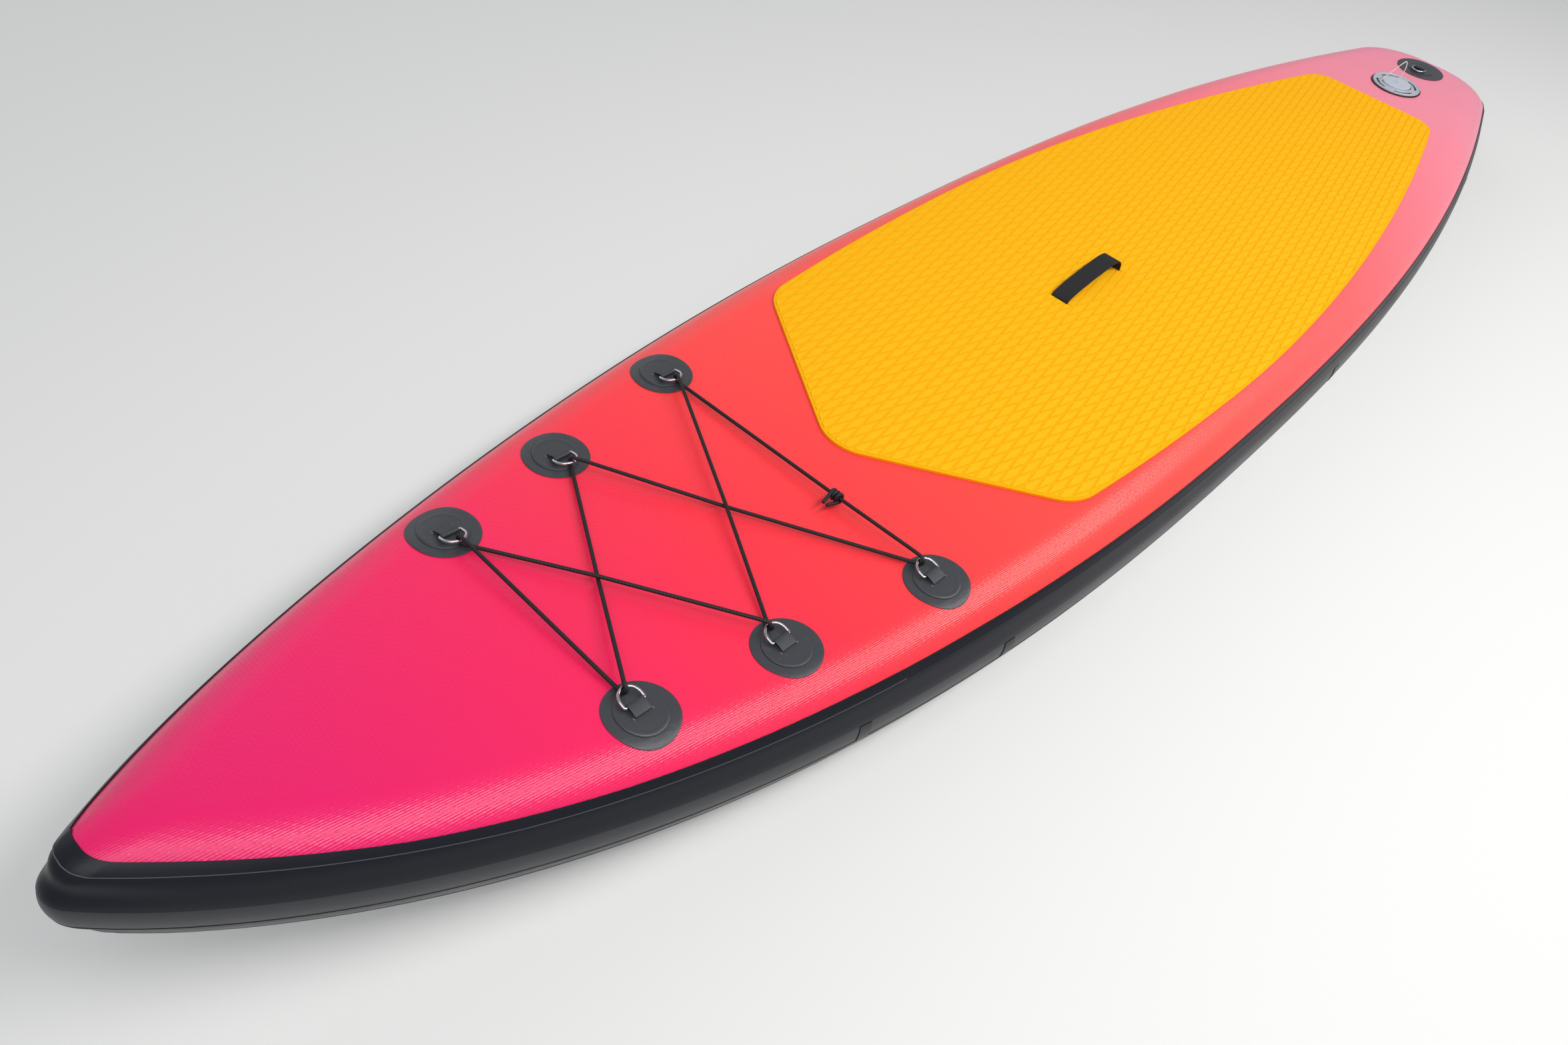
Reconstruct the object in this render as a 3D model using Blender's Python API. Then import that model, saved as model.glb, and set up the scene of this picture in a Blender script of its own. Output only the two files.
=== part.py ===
"""Inflatable touring paddle board, lying deck up on its flat bottom.

All sizes are in metres. While the hull is worked out, x runs from the tail end (0) to the nose tip;
the finished part is shifted so that x = 0 is half way. +X points to the nose, +Y to port and +Z up.
"""
import functools
import math

import bmesh
import bpy
import numpy as np
from mathutils import Matrix, Vector
from mathutils.bvhtree import BVHTree

# Hull
BOARD_LENGTH = 3.353
BOARD_WIDTH = 0.762
BOARD_THICKNESS = 0.156
RAIL_DEPTH = 0.080             # how far the round of the rail reaches in from the edge
WIDE_POINT = 1.70              # widest place, from the tail end
TAIL_END_WIDTH = 0.300         # width where the side curves meet the square tail
TAIL_FULLNESS = 2.38
NOSE_FULLNESS = 2.46
NOSE_SHARPNESS = 0.80
TAIL_CORNER_RADIUS = 0.120
NOSE_TIP_RADIUS = 0.030
NOSE_KICK = 0.137              # how far the nose rises
NOSE_KICK_START = 1.90
NOSE_KICK_POWER = 3.4
TAIL_KICK_START = 0.95
TAIL_KICK_POWER = 1.5
TAIL_BOTTOM_LIFT = 0.022
TAIL_DECK_LIFT = 0.004

# Layers, from the drop-stitch chamber outwards
SKIN = 0.0012
TAPE = 0.0008
TOUCH = 0.0003                 # gap that glued or touching pieces keep
SEAM_ANGLE = 22.0              # degrees up the rail where the deck skin meets the side wall
TAPE_TOP_ANGLE = 33.0          # visible edge of the deck colour
# How far the tape's edge climbs the facet above that angle, towards the nose: (from tail, share)
TAPE_CLIMB = [(1.50, 0.10), (2.02, 0.36), (2.40, 0.76), (3.05, 0.72), (3.25, 1.00)]
TAPE_LOW_ANGLE = 11.0
SHOULDER_STEPS = 4             # facets between the tape and the flat of the deck
HULL_POINTS = 33               # points along one side
BEND_WEIGHT = 0.50             # metres of length that one radian of bend counts as

# Deck pad
PAD_THICKNESS = 0.005
PAD_TAIL = 0.413
PAD_WIDTH = 0.636
PAD_WIDE_POINT = 1.62
PAD_TAIL_TAPER = 0.96
PAD_TAIL_POWER = 1.85
PAD_FRONT_TAPER = 0.32
PAD_TIP = 2.304
PAD_ARROW_SLOPE = 1.50
PAD_FRONT_RADIUS = 0.070
PAD_TAIL_RADIUS = 0.055

# Carry handle
HANDLE_WIDTH = 0.032
HANDLE_THICKNESS = 0.0022
HANDLE_FRONT = 1.7335
HANDLE_REAR = 1.5680
HANDLE_RISE = 0.0290           # top of the strap's middle line above the deck
SLIT_CLEARANCE = 0.0008
ANCHOR_LENGTH = 0.090
ANCHOR_WIDTH = 0.060
ANCHOR_THICKNESS = 0.0010
ANCHOR_CORNER = 0.010

# D-ring stations
PATCH_RADIUS = 0.044
DISC_RADIUS = 0.031
PATCH_THICKNESS = 0.0010
DISC_THICKNESS = 0.0012
WIRE_RADIUS = 0.0020
RING_INNER_WIDTH = 0.0254
RING_CORNER = 0.0025
RING_DEPTH = 0.0215            # bar to the top of the arc, wire middle to wire middle
BAR_OFFSET = 0.0106            # bar from the middle of the patch
WEBBING_THICKNESS = 0.0010
WEBBING_SIDE_CLEARANCE = 0.0006
WEBBING_TAIL = 0.0140          # bar to the slit that the webbing comes out of
TAIL_PATCH_RADIUS = 0.055
TAIL_PATCH_X = 0.130
STATIONS = {"front": (2.821, 0.22178 * BOARD_WIDTH), "middle": (2.624, 0.26640 * BOARD_WIDTH),
            "rear": (2.393, 0.32808 * BOARD_WIDTH)}

# Bungee
CORD = 0.0050
BIGHT_CLEARANCE = 0.0014       # between the ring's wire and the cord bent round it
BIGHT_APPROACH = 0.012         # straight run on each side of a bend round a ring
BIGHT_LEAN = 0.35              # share of its thickness that the cord leans sideways in a bend
CROSSING_STEP = 0.0030         # how far each cord bows where two cross
KNOT_Y = 0.0775
KNOT_TURNS = 2.5
KNOT_GAP = 0.0010
KNOT_TAIL = 0.020

# Valve
VALVE_X = 0.284
GASKET_RADIUS = 0.0575
GASKET_THICKNESS = 0.0020
GASKET_CHAMFER = 0.0007
FLANGE_RADIUS = 0.0545
FLANGE_HEIGHT = 0.0060         # top of the flange above the deck
FLANGE_LIP = 0.0016            # rise of the two rings along the flange's edges
FLANGE_SLOTS = 4
BARREL_RADIUS = 0.0375
BORE_RADIUS = 0.0335
BARREL_DEPTH = 0.040
SEAT_RADIUS = 0.020
SEAT_DEPTH = 0.036             # underside of the seat, below the deck
SEAT_THICKNESS = 0.0020
HUB_RADIUS = 0.0060
HUB_HEIGHT = 0.0080
SPOKE_WIDTH = 0.0030
SPOKES = 3
NUT_RADIUS = 0.0480
NUT_HEIGHT = 0.0080
POCKET_CLEARANCE = 0.0020
STEM_RADIUS = 0.0025
STEM_CLEARANCE = 0.0003
BUTTON_RADIUS = 0.0090
BUTTON_THICKNESS = 0.0030
BUTTON_DEPTH = 0.0080          # top of the button, below the deck
PIN_TRAVEL = 0.0050
PIN_FOOT_RADIUS = 0.0075
PIN_FOOT_THICKNESS = 0.0015
DIAPHRAGM_RADIUS = 0.0235
DIAPHRAGM_THICKNESS = 0.0020
SPRING_WIRE = 0.0007
SPRING_RADIUS = 0.0048
SPRING_TURNS = 5
CAP_RADIUS = 0.0322
CAP_RISE = 0.0015              # cap above the flange
CAP_THICKNESS = 0.0040
CAP_SKIRT_DEPTH = 0.0040
CAP_SKIRT_WALL = 0.0020
CAP_CHAMFER = 0.0012
CAP_FIT = 0.0006
SEAL_WIRE = 0.0012
TETHER_RADIUS = 0.0012
TETHER_RISE = 0.052
TETHER_FOOT = (-0.030, -0.030)

# Fin box
FIN_BOX_X = 0.228
FIN_BOX_LENGTH = 0.210
FIN_BOX_WIDTH = 0.026
FIN_BOX_HEIGHT = 0.0085
FIN_PLATE_LENGTH = 0.240
FIN_PLATE_WIDTH = 0.070
FIN_PLATE_THICKNESS = 0.0015
FIN_PATCH_MARGIN = 0.020
FIN_PATCH_CORNER = 0.030
FIN_PLATE_CORNER = 0.020
FIN_SLOT_WIDTH = 0.0095
FIN_SLOT_DEPTH = 0.0065
FIN_SLOT_STOP = 0.012          # closed front end of the slot
FIN_PIN_RADIUS = 0.0015
FIN_PIN_FROM_END = 0.014
FIN_PIN_CLEARANCE = 0.0003
FIN_PIN_HEAD = 0.0015

ROUND = 28                     # sides of a turned piece


def clear_scene():
    for item in list(bpy.data.objects):
        bpy.data.objects.remove(item, do_unlink=True)


def material(name, colour, roughness, metallic=0.0):
    made = bpy.data.materials.new(name)
    made.use_nodes = True
    shader = made.node_tree.nodes["Principled BSDF"]
    shader.inputs["Base Color"].default_value = (*colour, 1.0)
    shader.inputs["Roughness"].default_value = roughness
    shader.inputs["Metallic"].default_value = metallic
    return made


def place(mesh, name, finish):
    """Put a mesh into the scene as one named, smooth-shaded piece."""
    piece = bpy.data.objects.new(name, mesh)
    bpy.context.scene.collection.objects.link(piece)
    mesh.materials.clear()
    mesh.materials.append(finish)
    mesh.shade_smooth()
    mesh.set_sharp_from_angle(angle=math.radians(35))
    return piece


def solid_mesh(name, points, faces):
    """A closed mesh with its faces turned outwards."""
    mesh = bpy.data.meshes.new(name)
    mesh.from_pydata([tuple(p) for p in points], [], faces)
    work = bmesh.new()
    work.from_mesh(mesh)
    bmesh.ops.recalc_face_normals(work, faces=work.faces)
    if work.calc_volume(signed=True) < 0:
        bmesh.ops.reverse_faces(work, faces=work.faces)
    work.to_mesh(mesh)
    work.free()
    return mesh


# Plan shape of the hull

def cosine_steps(count):
    return (1 - np.cos(np.linspace(0, math.pi, count))) / 2


def drawn_outline(length):
    """One side of the plan before its corners are rounded: across the tail, then on to the nose."""
    x = length * cosine_steps(1500)
    behind = np.clip((WIDE_POINT - x) / WIDE_POINT, 0, 1)
    ahead = np.clip((x - WIDE_POINT) / (length - WIDE_POINT), 0, 1)
    tail = 1 - (1 - TAIL_END_WIDTH / BOARD_WIDTH) * behind ** TAIL_FULLNESS
    nose = (1 - ahead ** NOSE_FULLNESS) ** NOSE_SHARPNESS
    half = BOARD_WIDTH / 2 * np.where(x > WIDE_POINT, nose, tail)
    across = np.linspace(0, half[0], 60)[:-1]
    return np.vstack([np.column_stack([np.zeros(59), across]), np.column_stack([x, half])])


def envelope(curve, grid, radius, sign):
    """Height of the curve moved out (sign 1) or in (sign -1) by radius, over each place of grid."""
    step = grid[:, None] - curve[None, :, 0]
    reach = np.sqrt(np.clip(radius ** 2 - step ** 2, 0, None))
    height = curve[None, :, 1] + sign * reach
    height = np.where(np.abs(step) < radius, height, -sign * np.inf)
    return height.max(axis=1) if sign > 0 else height.min(axis=1)


def rounded_inset(curve, depth, radius):
    """The curve moved in by depth, with its corners rounded to radius."""
    low, high = curve[:, 0].min(), curve[:, 0].max()
    grid = low + (high - low) * cosine_steps(1500)
    inner = envelope(curve, grid, depth + radius, -1)
    inside = (inner > 0) & (inner < np.inf) & (grid > low + depth + radius)
    first, last = np.flatnonzero(inside)[[0, -1]]
    end = grid[last] + inner[last] * (grid[last + 1] - grid[last]) / (inner[last] - inner[last + 1])
    kept = np.column_stack([grid[inside], inner[inside]])
    start = low + depth + radius
    across = np.linspace(0, inner[first], 20)
    core = np.vstack([np.column_stack([np.full(20, start), across]), kept, [[end, 0.0]]])
    span = (start - radius) + (end - start + 2 * radius) * cosine_steps(1500)
    outer = envelope(core, span[1:-1], radius, 1)
    flat = np.array([[span[0], 0.0], [span[0], inner[first]]])
    return np.vstack([flat, np.column_stack([span[1:-1], outer]), [[span[-1], 0.0]]])


def spaced(curve, count):
    """Points along the curve, closer together where it bends."""
    step = np.diff(curve, axis=0)
    length = np.hypot(step[:, 0], step[:, 1])
    keep = length > 1e-7
    curve = np.vstack([curve[:1], curve[1:][keep]])
    step, length = step[keep], length[keep]
    heading = np.arctan2(step[:, 1], step[:, 0])
    turned_by = np.maximum.accumulate(heading[0] - heading)
    middle = np.cumsum(length) - length / 2
    measure = np.interp(np.concatenate([[0], np.cumsum(length)]), middle, middle + BEND_WEIGHT * turned_by)
    marks = np.linspace(measure[0], measure[-1], count)
    return np.column_stack([np.interp(marks, measure, curve[:, k]) for k in (0, 1)])


@functools.lru_cache(maxsize=None)
def fitted_outline():
    """The drawn side, stretched so that its rounded tip ends at the board's length."""
    drawn = drawn_outline(BOARD_LENGTH + NOSE_TIP_RADIUS / 2)
    tip = rounded_inset(drawn, 0.0, NOSE_TIP_RADIUS)[-1, 0]
    return drawn * [BOARD_LENGTH / tip, 1]


@functools.lru_cache(maxsize=None)
def side_curve(depth):
    """One side of the hull's plan, moved in by depth: tail middle, port side, nose middle."""
    drawn = fitted_outline()
    tail = rounded_inset(drawn, depth, TAIL_CORNER_RADIUS)
    nose = rounded_inset(drawn, depth, NOSE_TIP_RADIUS)
    joined = np.vstack([tail[tail[:, 0] < WIDE_POINT], nose[nose[:, 0] >= WIDE_POINT]])
    return spaced(joined, HULL_POINTS)


# Side view of the hull

def tail_share(x):
    return np.clip((TAIL_KICK_START - x) / TAIL_KICK_START, 0, None) ** TAIL_KICK_POWER


def bottom_height(x):
    ahead = np.clip((x - NOSE_KICK_START) / (BOARD_LENGTH - NOSE_KICK_START), 0, None)
    return TAIL_BOTTOM_LIFT * tail_share(x) + NOSE_KICK * ahead ** NOSE_KICK_POWER


def thickness(x):
    return BOARD_THICKNESS - (TAIL_BOTTOM_LIFT - TAIL_DECK_LIFT) * tail_share(x)


def inset_loop(loop, depth):
    """A closed plan loop whose sides all move in by depth, so that nested loops stay parallel."""
    step = np.roll(loop, -1, axis=0) - loop
    step /= np.linalg.norm(step, axis=1)[:, None]
    normal = np.column_stack([step[:, 1], -step[:, 0]])
    corner = normal + np.roll(normal, 1, axis=0)
    return loop + 2 * depth * corner / (corner ** 2).sum(axis=1)[:, None]


def hull_ring(sunk, degrees):
    """Closed loop round the hull, sunk below its surface, at an angle up or down the rail."""
    angle = math.radians(degrees)
    side = side_curve(round(RAIL_DEPTH * (1 - math.cos(angle)), 7))
    loop = inset_loop(np.vstack([side, (side * [1, -1])[-2:0:-1]]), sunk * math.cos(angle))
    x = loop[:, 0]
    z = bottom_height(x) + thickness(x) / 2 + (thickness(x) / 2 - sunk) * math.sin(angle)
    return np.column_stack([x - BOARD_LENGTH / 2, loop[:, 1], z])


def shared_angles():
    """Angles round the rail, deck flat to bottom flat, where every layer has its facet edges."""
    shoulder = (90 - TAPE_TOP_ANGLE) / SHOULDER_STEPS
    upper = [90 - shoulder * k for k in range(SHOULDER_STEPS)]
    upper += [TAPE_TOP_ANGLE, SEAM_ANGLE, TAPE_LOW_ANGLE]
    return upper + [0.0] + [-a for a in upper[::-1]]


def rail_angles(top, low):
    return [top] + [a for a in shared_angles() if low + 0.01 < a < top - 0.01] + [low]


def chord_ring(sunk, degrees):
    """A loop at any angle, lying on the facets between the shared angles."""
    angles = shared_angles()
    k = next(k for k in range(1, len(angles)) if angles[k] <= degrees + 1e-9)
    above, below = angles[k - 1], angles[k]
    share = (degrees - below) / (above - below)
    return share * hull_ring(sunk, above) + (1 - share) * hull_ring(sunk, below)


def strip_faces(rings, here, there):
    """Triangles between two loops, split the same way in every layer so that layers never meet."""
    count = len(rings[0])
    rising = rings[there][:, 2].mean() > rings[here][:, 2].mean()
    faces = []
    for k in range(count):
        a, b = here * count + k, here * count + (k + 1) % count
        d, c = there * count + k, there * count + (k + 1) % count
        starboard = k >= count // 2
        faces += [(a, b, d), (b, c, d)] if starboard != rising else [(a, b, c), (a, c, d)]
    return faces


def lidded(name, rings):
    """Stack of loops closed by a lid across each end."""
    count = len(rings[0])
    last = count // 2
    faces = []
    for level in range(len(rings) - 1):
        faces += strip_faces(rings, level, level + 1)
    for level in (0, len(rings) - 1):
        base = level * count
        for k in range(last):
            port = [base + k, base + k + 1]
            other = [base + (count - k) % count, base + (count - k - 1) % count]
            corners = list(dict.fromkeys([port[0], port[1], other[1], other[0]]))
            faces.append(tuple(corners))
    return solid_mesh(name, np.vstack(rings), faces)


def banded(name, rings):
    """Stack of loops whose last loop joins its first, like a tyre."""
    faces = []
    for level in range(len(rings)):
        faces += strip_faces(rings, level, (level + 1) % len(rings))
    return solid_mesh(name, np.vstack(rings), faces)


def cover_mesh(name, outer, inner, top, low):
    """Sheet over the deck or bottom, from the flat at one end of top..low to the seam."""
    angles = rail_angles(top, low)
    if abs(low) > abs(top):
        angles = angles[::-1]
    rings = [chord_ring(outer, a) for a in angles] + [chord_ring(inner, a) for a in angles[::-1]]
    return lidded(name, rings)


def climbing_ring(sunk, side):
    """Edge of the tape over the deck (side 1) or the bottom (-1), higher towards the nose."""
    angles = shared_angles()
    above = angles[angles.index(TAPE_TOP_ANGLE) - 1]
    low, high = hull_ring(sunk, side * TAPE_TOP_ANGLE), hull_ring(sunk, side * above)
    places, shares = zip(*TAPE_CLIMB)
    share = np.interp(low[:, 0] + BOARD_LENGTH / 2, places, shares)[:, None]
    return share * high + (1 - share) * low


def band_mesh(name, outer, inner, top, low):
    angles = rail_angles(top, low)
    rings = [chord_ring(outer, a) for a in angles] + [chord_ring(inner, a) for a in angles[::-1]]
    return banded(name, rings)


def tape_mesh(name, outer, inner, side):
    """Tape over one seam, from its climbing edge down to the side wall."""
    angles = [side * a for a in (TAPE_TOP_ANGLE, SEAM_ANGLE, TAPE_LOW_ANGLE)]
    rings = [climbing_ring(outer, side)] + [chord_ring(outer, a) for a in angles]
    rings += [chord_ring(inner, a) for a in angles[::-1]] + [climbing_ring(inner, side)]
    return banded(name, rings)


# Cutting tools

def prism(outline, low, high):
    """Upright solid over a closed plan outline."""
    count = len(outline)
    points = [(x, y, z) for z in (low, high) for x, y in outline]
    faces = [tuple(range(count)), tuple(range(count, 2 * count))]
    faces += [(k, (k + 1) % count, count + (k + 1) % count, count + k) for k in range(count)]
    return solid_mesh("prism", points, faces)


def circle(x, y, radius, count=ROUND):
    turns = [2 * math.pi * k / count for k in range(count)]
    return [(x + radius * math.cos(t), y + radius * math.sin(t)) for t in turns]


def rounded_box(x, y, length, width, radius, count=4):
    """Plan outline of a box with round corners."""
    outline = []
    for corner, (sx, sy) in enumerate([(1, 1), (-1, 1), (-1, -1), (1, -1)]):
        for k in range(count + 1):
            turn = math.pi / 2 * (corner + k / count)
            outline.append((x + sx * (length / 2 - radius) + radius * math.cos(turn),
                            y + sy * (width / 2 - radius) + radius * math.sin(turn)))
    return outline


def cut(target, cutter_mesh, operation="DIFFERENCE", matrix=None):
    """Apply one exact Boolean to an object's mesh."""
    cutter = bpy.data.objects.new("cutter", cutter_mesh)
    bpy.context.scene.collection.objects.link(cutter)
    if matrix is not None:
        cutter.matrix_world = matrix
    modifier = target.modifiers.new("cut", "BOOLEAN")
    modifier.operation = operation
    modifier.solver = "EXACT"
    modifier.object = cutter
    bpy.context.view_layer.update()
    graph = bpy.context.evaluated_depsgraph_get()
    result = bpy.data.meshes.new_from_object(target.evaluated_get(graph))
    target.modifiers.clear()
    target.data = result
    bpy.data.objects.remove(cutter, do_unlink=True)


def turned(name, profile, count=ROUND):
    """Solid of revolution about Z from a closed profile of (radius, height)."""
    points, faces, rings = [], [], []
    for radius, height in profile:
        if radius < 1e-9:
            rings.append([len(points)])
            points.append((0, 0, height))
            continue
        rings.append(list(range(len(points), len(points) + count)))
        points += [(x, y, height) for x, y in circle(0, 0, radius, count)]
    for here, there in zip(rings, rings[1:] + rings[:1]):
        if len(here) == 1 and len(there) == 1:
            continue
        for k in range(count):
            n = (k + 1) % count
            corners = [here[k % len(here)], here[n % len(here)], there[n % len(there)],
                       there[k % len(there)]]
            faces.append(tuple(dict.fromkeys(corners)))
    return solid_mesh(name, points, faces)


def swept_loop(name, path, radius, sides):
    """Closed tube round a flat closed path in the XY plane."""
    count = len(path)
    points, faces = [], []
    for k, here in enumerate(path):
        tangent = (Vector(path[(k + 1) % count]) - Vector(path[k - 1])).normalized()
        out = Vector((tangent.y, -tangent.x, 0))
        into = (Vector(here) - Vector(path[k - 1])).normalized()
        stretch = 1 / max(0.5, into.dot(tangent))
        for s in range(sides):
            turn = 2 * math.pi * (s + 0.5) / sides
            offset = out * radius * stretch * math.cos(turn) + Vector((0, 0, radius * math.sin(turn)))
            points.append(Vector(here) + offset)
    for k in range(count):
        for s in range(sides):
            n, t = (k + 1) % count, (s + 1) % sides
            faces.append((k * sides + s, n * sides + s, n * sides + t, k * sides + t))
    return solid_mesh(name, points, faces)


def ribbon(name, path, thick, width):
    """Flat strap of even thickness along a path of (x, z), with its width along Y."""
    upper, lower = [], []
    for k, (x, z) in enumerate(path):
        before, after = path[max(k - 1, 0)], path[min(k + 1, len(path) - 1)]
        along = Vector((after[0] - before[0], after[1] - before[1])).normalized()
        upper.append((x - along.y * thick / 2, z + along.x * thick / 2))
        lower.append((x + along.y * thick / 2, z - along.x * thick / 2))
    count = len(path)
    points, faces = [], []
    for y in (width / 2, -width / 2):
        points += [(x, y, z) for x, z in upper] + [(x, y, z) for x, z in lower]
    low, far = count, 2 * count
    for k in range(count - 1):
        faces.append((k, k + 1, far + k + 1, far + k))
        faces.append((low + k, low + k + 1, far + low + k + 1, far + low + k))
        faces.append((k, k + 1, low + k + 1, low + k))
        faces.append((far + k, far + k + 1, far + low + k + 1, far + low + k))
    for k in (0, count - 1):
        faces.append((k, low + k, far + low + k, far + k))
    return solid_mesh(name, points, faces)


def smooth_route(points, steps):
    """Points on a smooth curve through the route's own points."""
    route = [Vector(p) for p in points]
    route = [route[0] * 2 - route[1]] + route + [route[-1] * 2 - route[-2]]
    out = []
    for p0, p1, p2, p3 in zip(route, route[1:], route[2:], route[3:]):
        for k in range(steps):
            t = k / steps
            out.append(0.5 * ((2 * p1) + (p2 - p0) * t + (2 * p0 - 5 * p1 + 4 * p2 - p3) * t * t
                              + (3 * p1 - p0 - 3 * p2 + p3) * t ** 3))
    return out + [route[-2]]


def tube(name, points, radius, finish, resolution=2):
    """Open tube along the points, as a bevelled curve with closed ends."""
    curve = bpy.data.curves.new(name, "CURVE")
    curve.dimensions = "3D"
    curve.bevel_depth = radius
    curve.bevel_resolution = resolution
    curve.use_fill_caps = True
    spline = curve.splines.new("POLY")
    spline.points.add(len(points) - 1)
    for target, p in zip(spline.points, points):
        target.co = (*p, 1.0)
    curve.materials.append(finish)
    piece = bpy.data.objects.new(name, curve)
    bpy.context.scene.collection.objects.link(piece)
    return piece


# Finishes

def make_finishes():
    return {
        "deck": material("deck_vinyl", (0.90, 0.10, 0.16), 0.38),
        "bottom": material("bottom_vinyl", (0.86, 0.86, 0.86), 0.42),
        "core": material("drop_stitch", (0.80, 0.80, 0.78), 0.85),
        "rail": material("rail_vinyl", (0.028, 0.031, 0.040), 0.48),
        "tape": material("seam_tape", (0.022, 0.025, 0.035), 0.45),
        "pad": material("deck_foam", (1.00, 0.50, 0.02), 0.80),
        "patch": material("patch_vinyl", (0.045, 0.048, 0.055), 0.55),
        "web": material("webbing", (0.020, 0.020, 0.022), 0.85),
        "steel": material("ring_steel", (0.78, 0.78, 0.80), 0.15, 1.0),
        "cord": material("bungee_sleeve", (0.012, 0.012, 0.014), 0.75),
        "valve": material("valve_plastic", (0.42, 0.45, 0.52), 0.40),
        "cap": material("cap_plastic", (0.52, 0.56, 0.64), 0.35),
        "seal": material("seal_rubber", (0.015, 0.016, 0.020), 0.60),
        "tether": material("tether_plastic", (0.85, 0.85, 0.82), 0.25),
        "fin": material("fin_box_plastic", (0.030, 0.030, 0.034), 0.50),
    }


# Hull layers

def build_hull(finish):
    inner = SKIN + TOUCH
    seam_gap = math.degrees(TOUCH / BOARD_THICKNESS)
    core = lidded("drop_stitch_core", [hull_ring(inner, a) for a in rail_angles(90, -90)])
    core = place(core, "drop_stitch_core", finish["core"])
    deck = place(cover_mesh("deck_skin", 0, SKIN, 90, SEAM_ANGLE), "deck_skin", finish["deck"])
    bottom = cover_mesh("bottom_skin", 0, SKIN, -SEAM_ANGLE, -90)
    bottom = place(bottom, "bottom_skin", finish["bottom"])
    wall = band_mesh("side_wall", 0, SKIN, SEAM_ANGLE - seam_gap, seam_gap - SEAM_ANGLE)
    place(wall, "side_wall", finish["rail"])
    for name, side in (("seam_tape_upper", 1), ("seam_tape_lower", -1)):
        place(tape_mesh(name, -TOUCH - TAPE, -TOUCH, side), name, finish["tape"])
    return core, deck, bottom


def surface_finder(piece):
    """A function that gives the point and normal of a piece's surface, met from above or below."""
    tree = BVHTree.FromPolygons([v.co[:] for v in piece.data.vertices],
                                [p.vertices[:] for p in piece.data.polygons])

    def find(x, y, from_above=True):
        start = Vector((x, y, 1.0 if from_above else -1.0))
        point, normal, _, _ = tree.ray_cast(start, Vector((0, 0, -1.0 if from_above else 1.0)))
        return point, normal
    return find


def board_x(from_tail):
    return from_tail - BOARD_LENGTH / 2


def layer_patch(name, outline, low, high, finish, bottom=False):
    """Piece of sheet that follows the hull between two heights above it, trimmed to an outline."""
    if bottom:
        sheet = cover_mesh(name, -high, -low, -SEAM_ANGLE, -90)
    else:
        sheet = cover_mesh(name, -high, -low, 90, SEAM_ANGLE)
    piece = place(sheet, name, finish)
    cut(piece, prism(outline, -1.0, 1.0), "INTERSECT")
    return piece


# Deck pad and handle

def pad_outline():
    front = PAD_TIP + PAD_FRONT_RADIUS * (math.hypot(1, 1 / PAD_ARROW_SLOPE) - 1)
    x = PAD_TAIL + (front - PAD_TAIL) * np.linspace(0, 1, 1500)
    behind = np.clip((PAD_WIDE_POINT - x) / PAD_WIDE_POINT, 0, 1)
    ahead = np.clip(x - PAD_WIDE_POINT, 0, None)
    half = PAD_WIDTH / 2 * (1 - PAD_TAIL_TAPER * behind ** PAD_TAIL_POWER)
    half = half * (1 - PAD_FRONT_TAPER * ahead ** 2)
    arrow = (front - x) * PAD_ARROW_SLOPE
    half = np.minimum(half, np.clip(arrow, 0, None))
    across = np.linspace(0, half[0], 60)[:-1]
    drawn = np.vstack([np.column_stack([np.full(59, PAD_TAIL), across]), np.column_stack([x, half])])
    tail = rounded_inset(drawn, 0.0, PAD_TAIL_RADIUS)
    nose = rounded_inset(drawn, 0.0, PAD_FRONT_RADIUS)
    joined = np.vstack([tail[tail[:, 0] < PAD_WIDE_POINT], nose[nose[:, 0] >= PAD_WIDE_POINT]])
    side = spaced(joined, 26)
    loop = np.vstack([side, (side * [1, -1])[-2:0:-1]])
    return [(board_x(x), y) for x, y in loop]


def handle_anchor_outline(x):
    return rounded_box(board_x(x), 0, ANCHOR_LENGTH, ANCHOR_WIDTH, ANCHOR_CORNER)


def build_pad(finish):
    pad = layer_patch("traction_pad", pad_outline(), TOUCH, TOUCH + PAD_THICKNESS, finish["pad"])
    slit = HANDLE_THICKNESS + 2 * SLIT_CLEARANCE
    for x in (HANDLE_FRONT, HANDLE_REAR):
        deck, _ = surface_at(board_x(x), 0)
        room = ANCHOR_THICKNESS + 2 * TOUCH
        pocket = rounded_box(board_x(x), 0, ANCHOR_LENGTH + 2 * TOUCH, ANCHOR_WIDTH + 2 * TOUCH,
                             ANCHOR_CORNER)
        cut(pad, prism(pocket, deck.z - 0.01, deck.z + room))
        opening = rounded_box(board_x(x), 0, slit, HANDLE_WIDTH + 2 * SLIT_CLEARANCE, slit / 3, 2)
        cut(pad, prism(opening, deck.z - 0.01, deck.z + 0.02))


def handle_path():
    """Middle line of the strap, (x, height above the deck), front foot to rear foot."""
    foot = ANCHOR_THICKNESS + 2 * TOUCH
    run = HANDLE_FRONT - HANDLE_REAR
    shape = [(0.000, foot), (0.004, 0.20 * HANDLE_RISE), (0.035, 0.33 * HANDLE_RISE),
             (0.170, 0.56 * HANDLE_RISE), (0.400, 0.77 * HANDLE_RISE), (0.660, 0.95 * HANDLE_RISE),
             (0.820, HANDLE_RISE), (0.935, 0.88 * HANDLE_RISE), (0.990, 0.58 * HANDLE_RISE),
             (1.004, 0.30 * HANDLE_RISE), (1.000, foot)]
    points = [(HANDLE_FRONT - run * along, height, 0) for along, height in shape]
    return [(p.x, p.y) for p in smooth_route(points, 3)]


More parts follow.
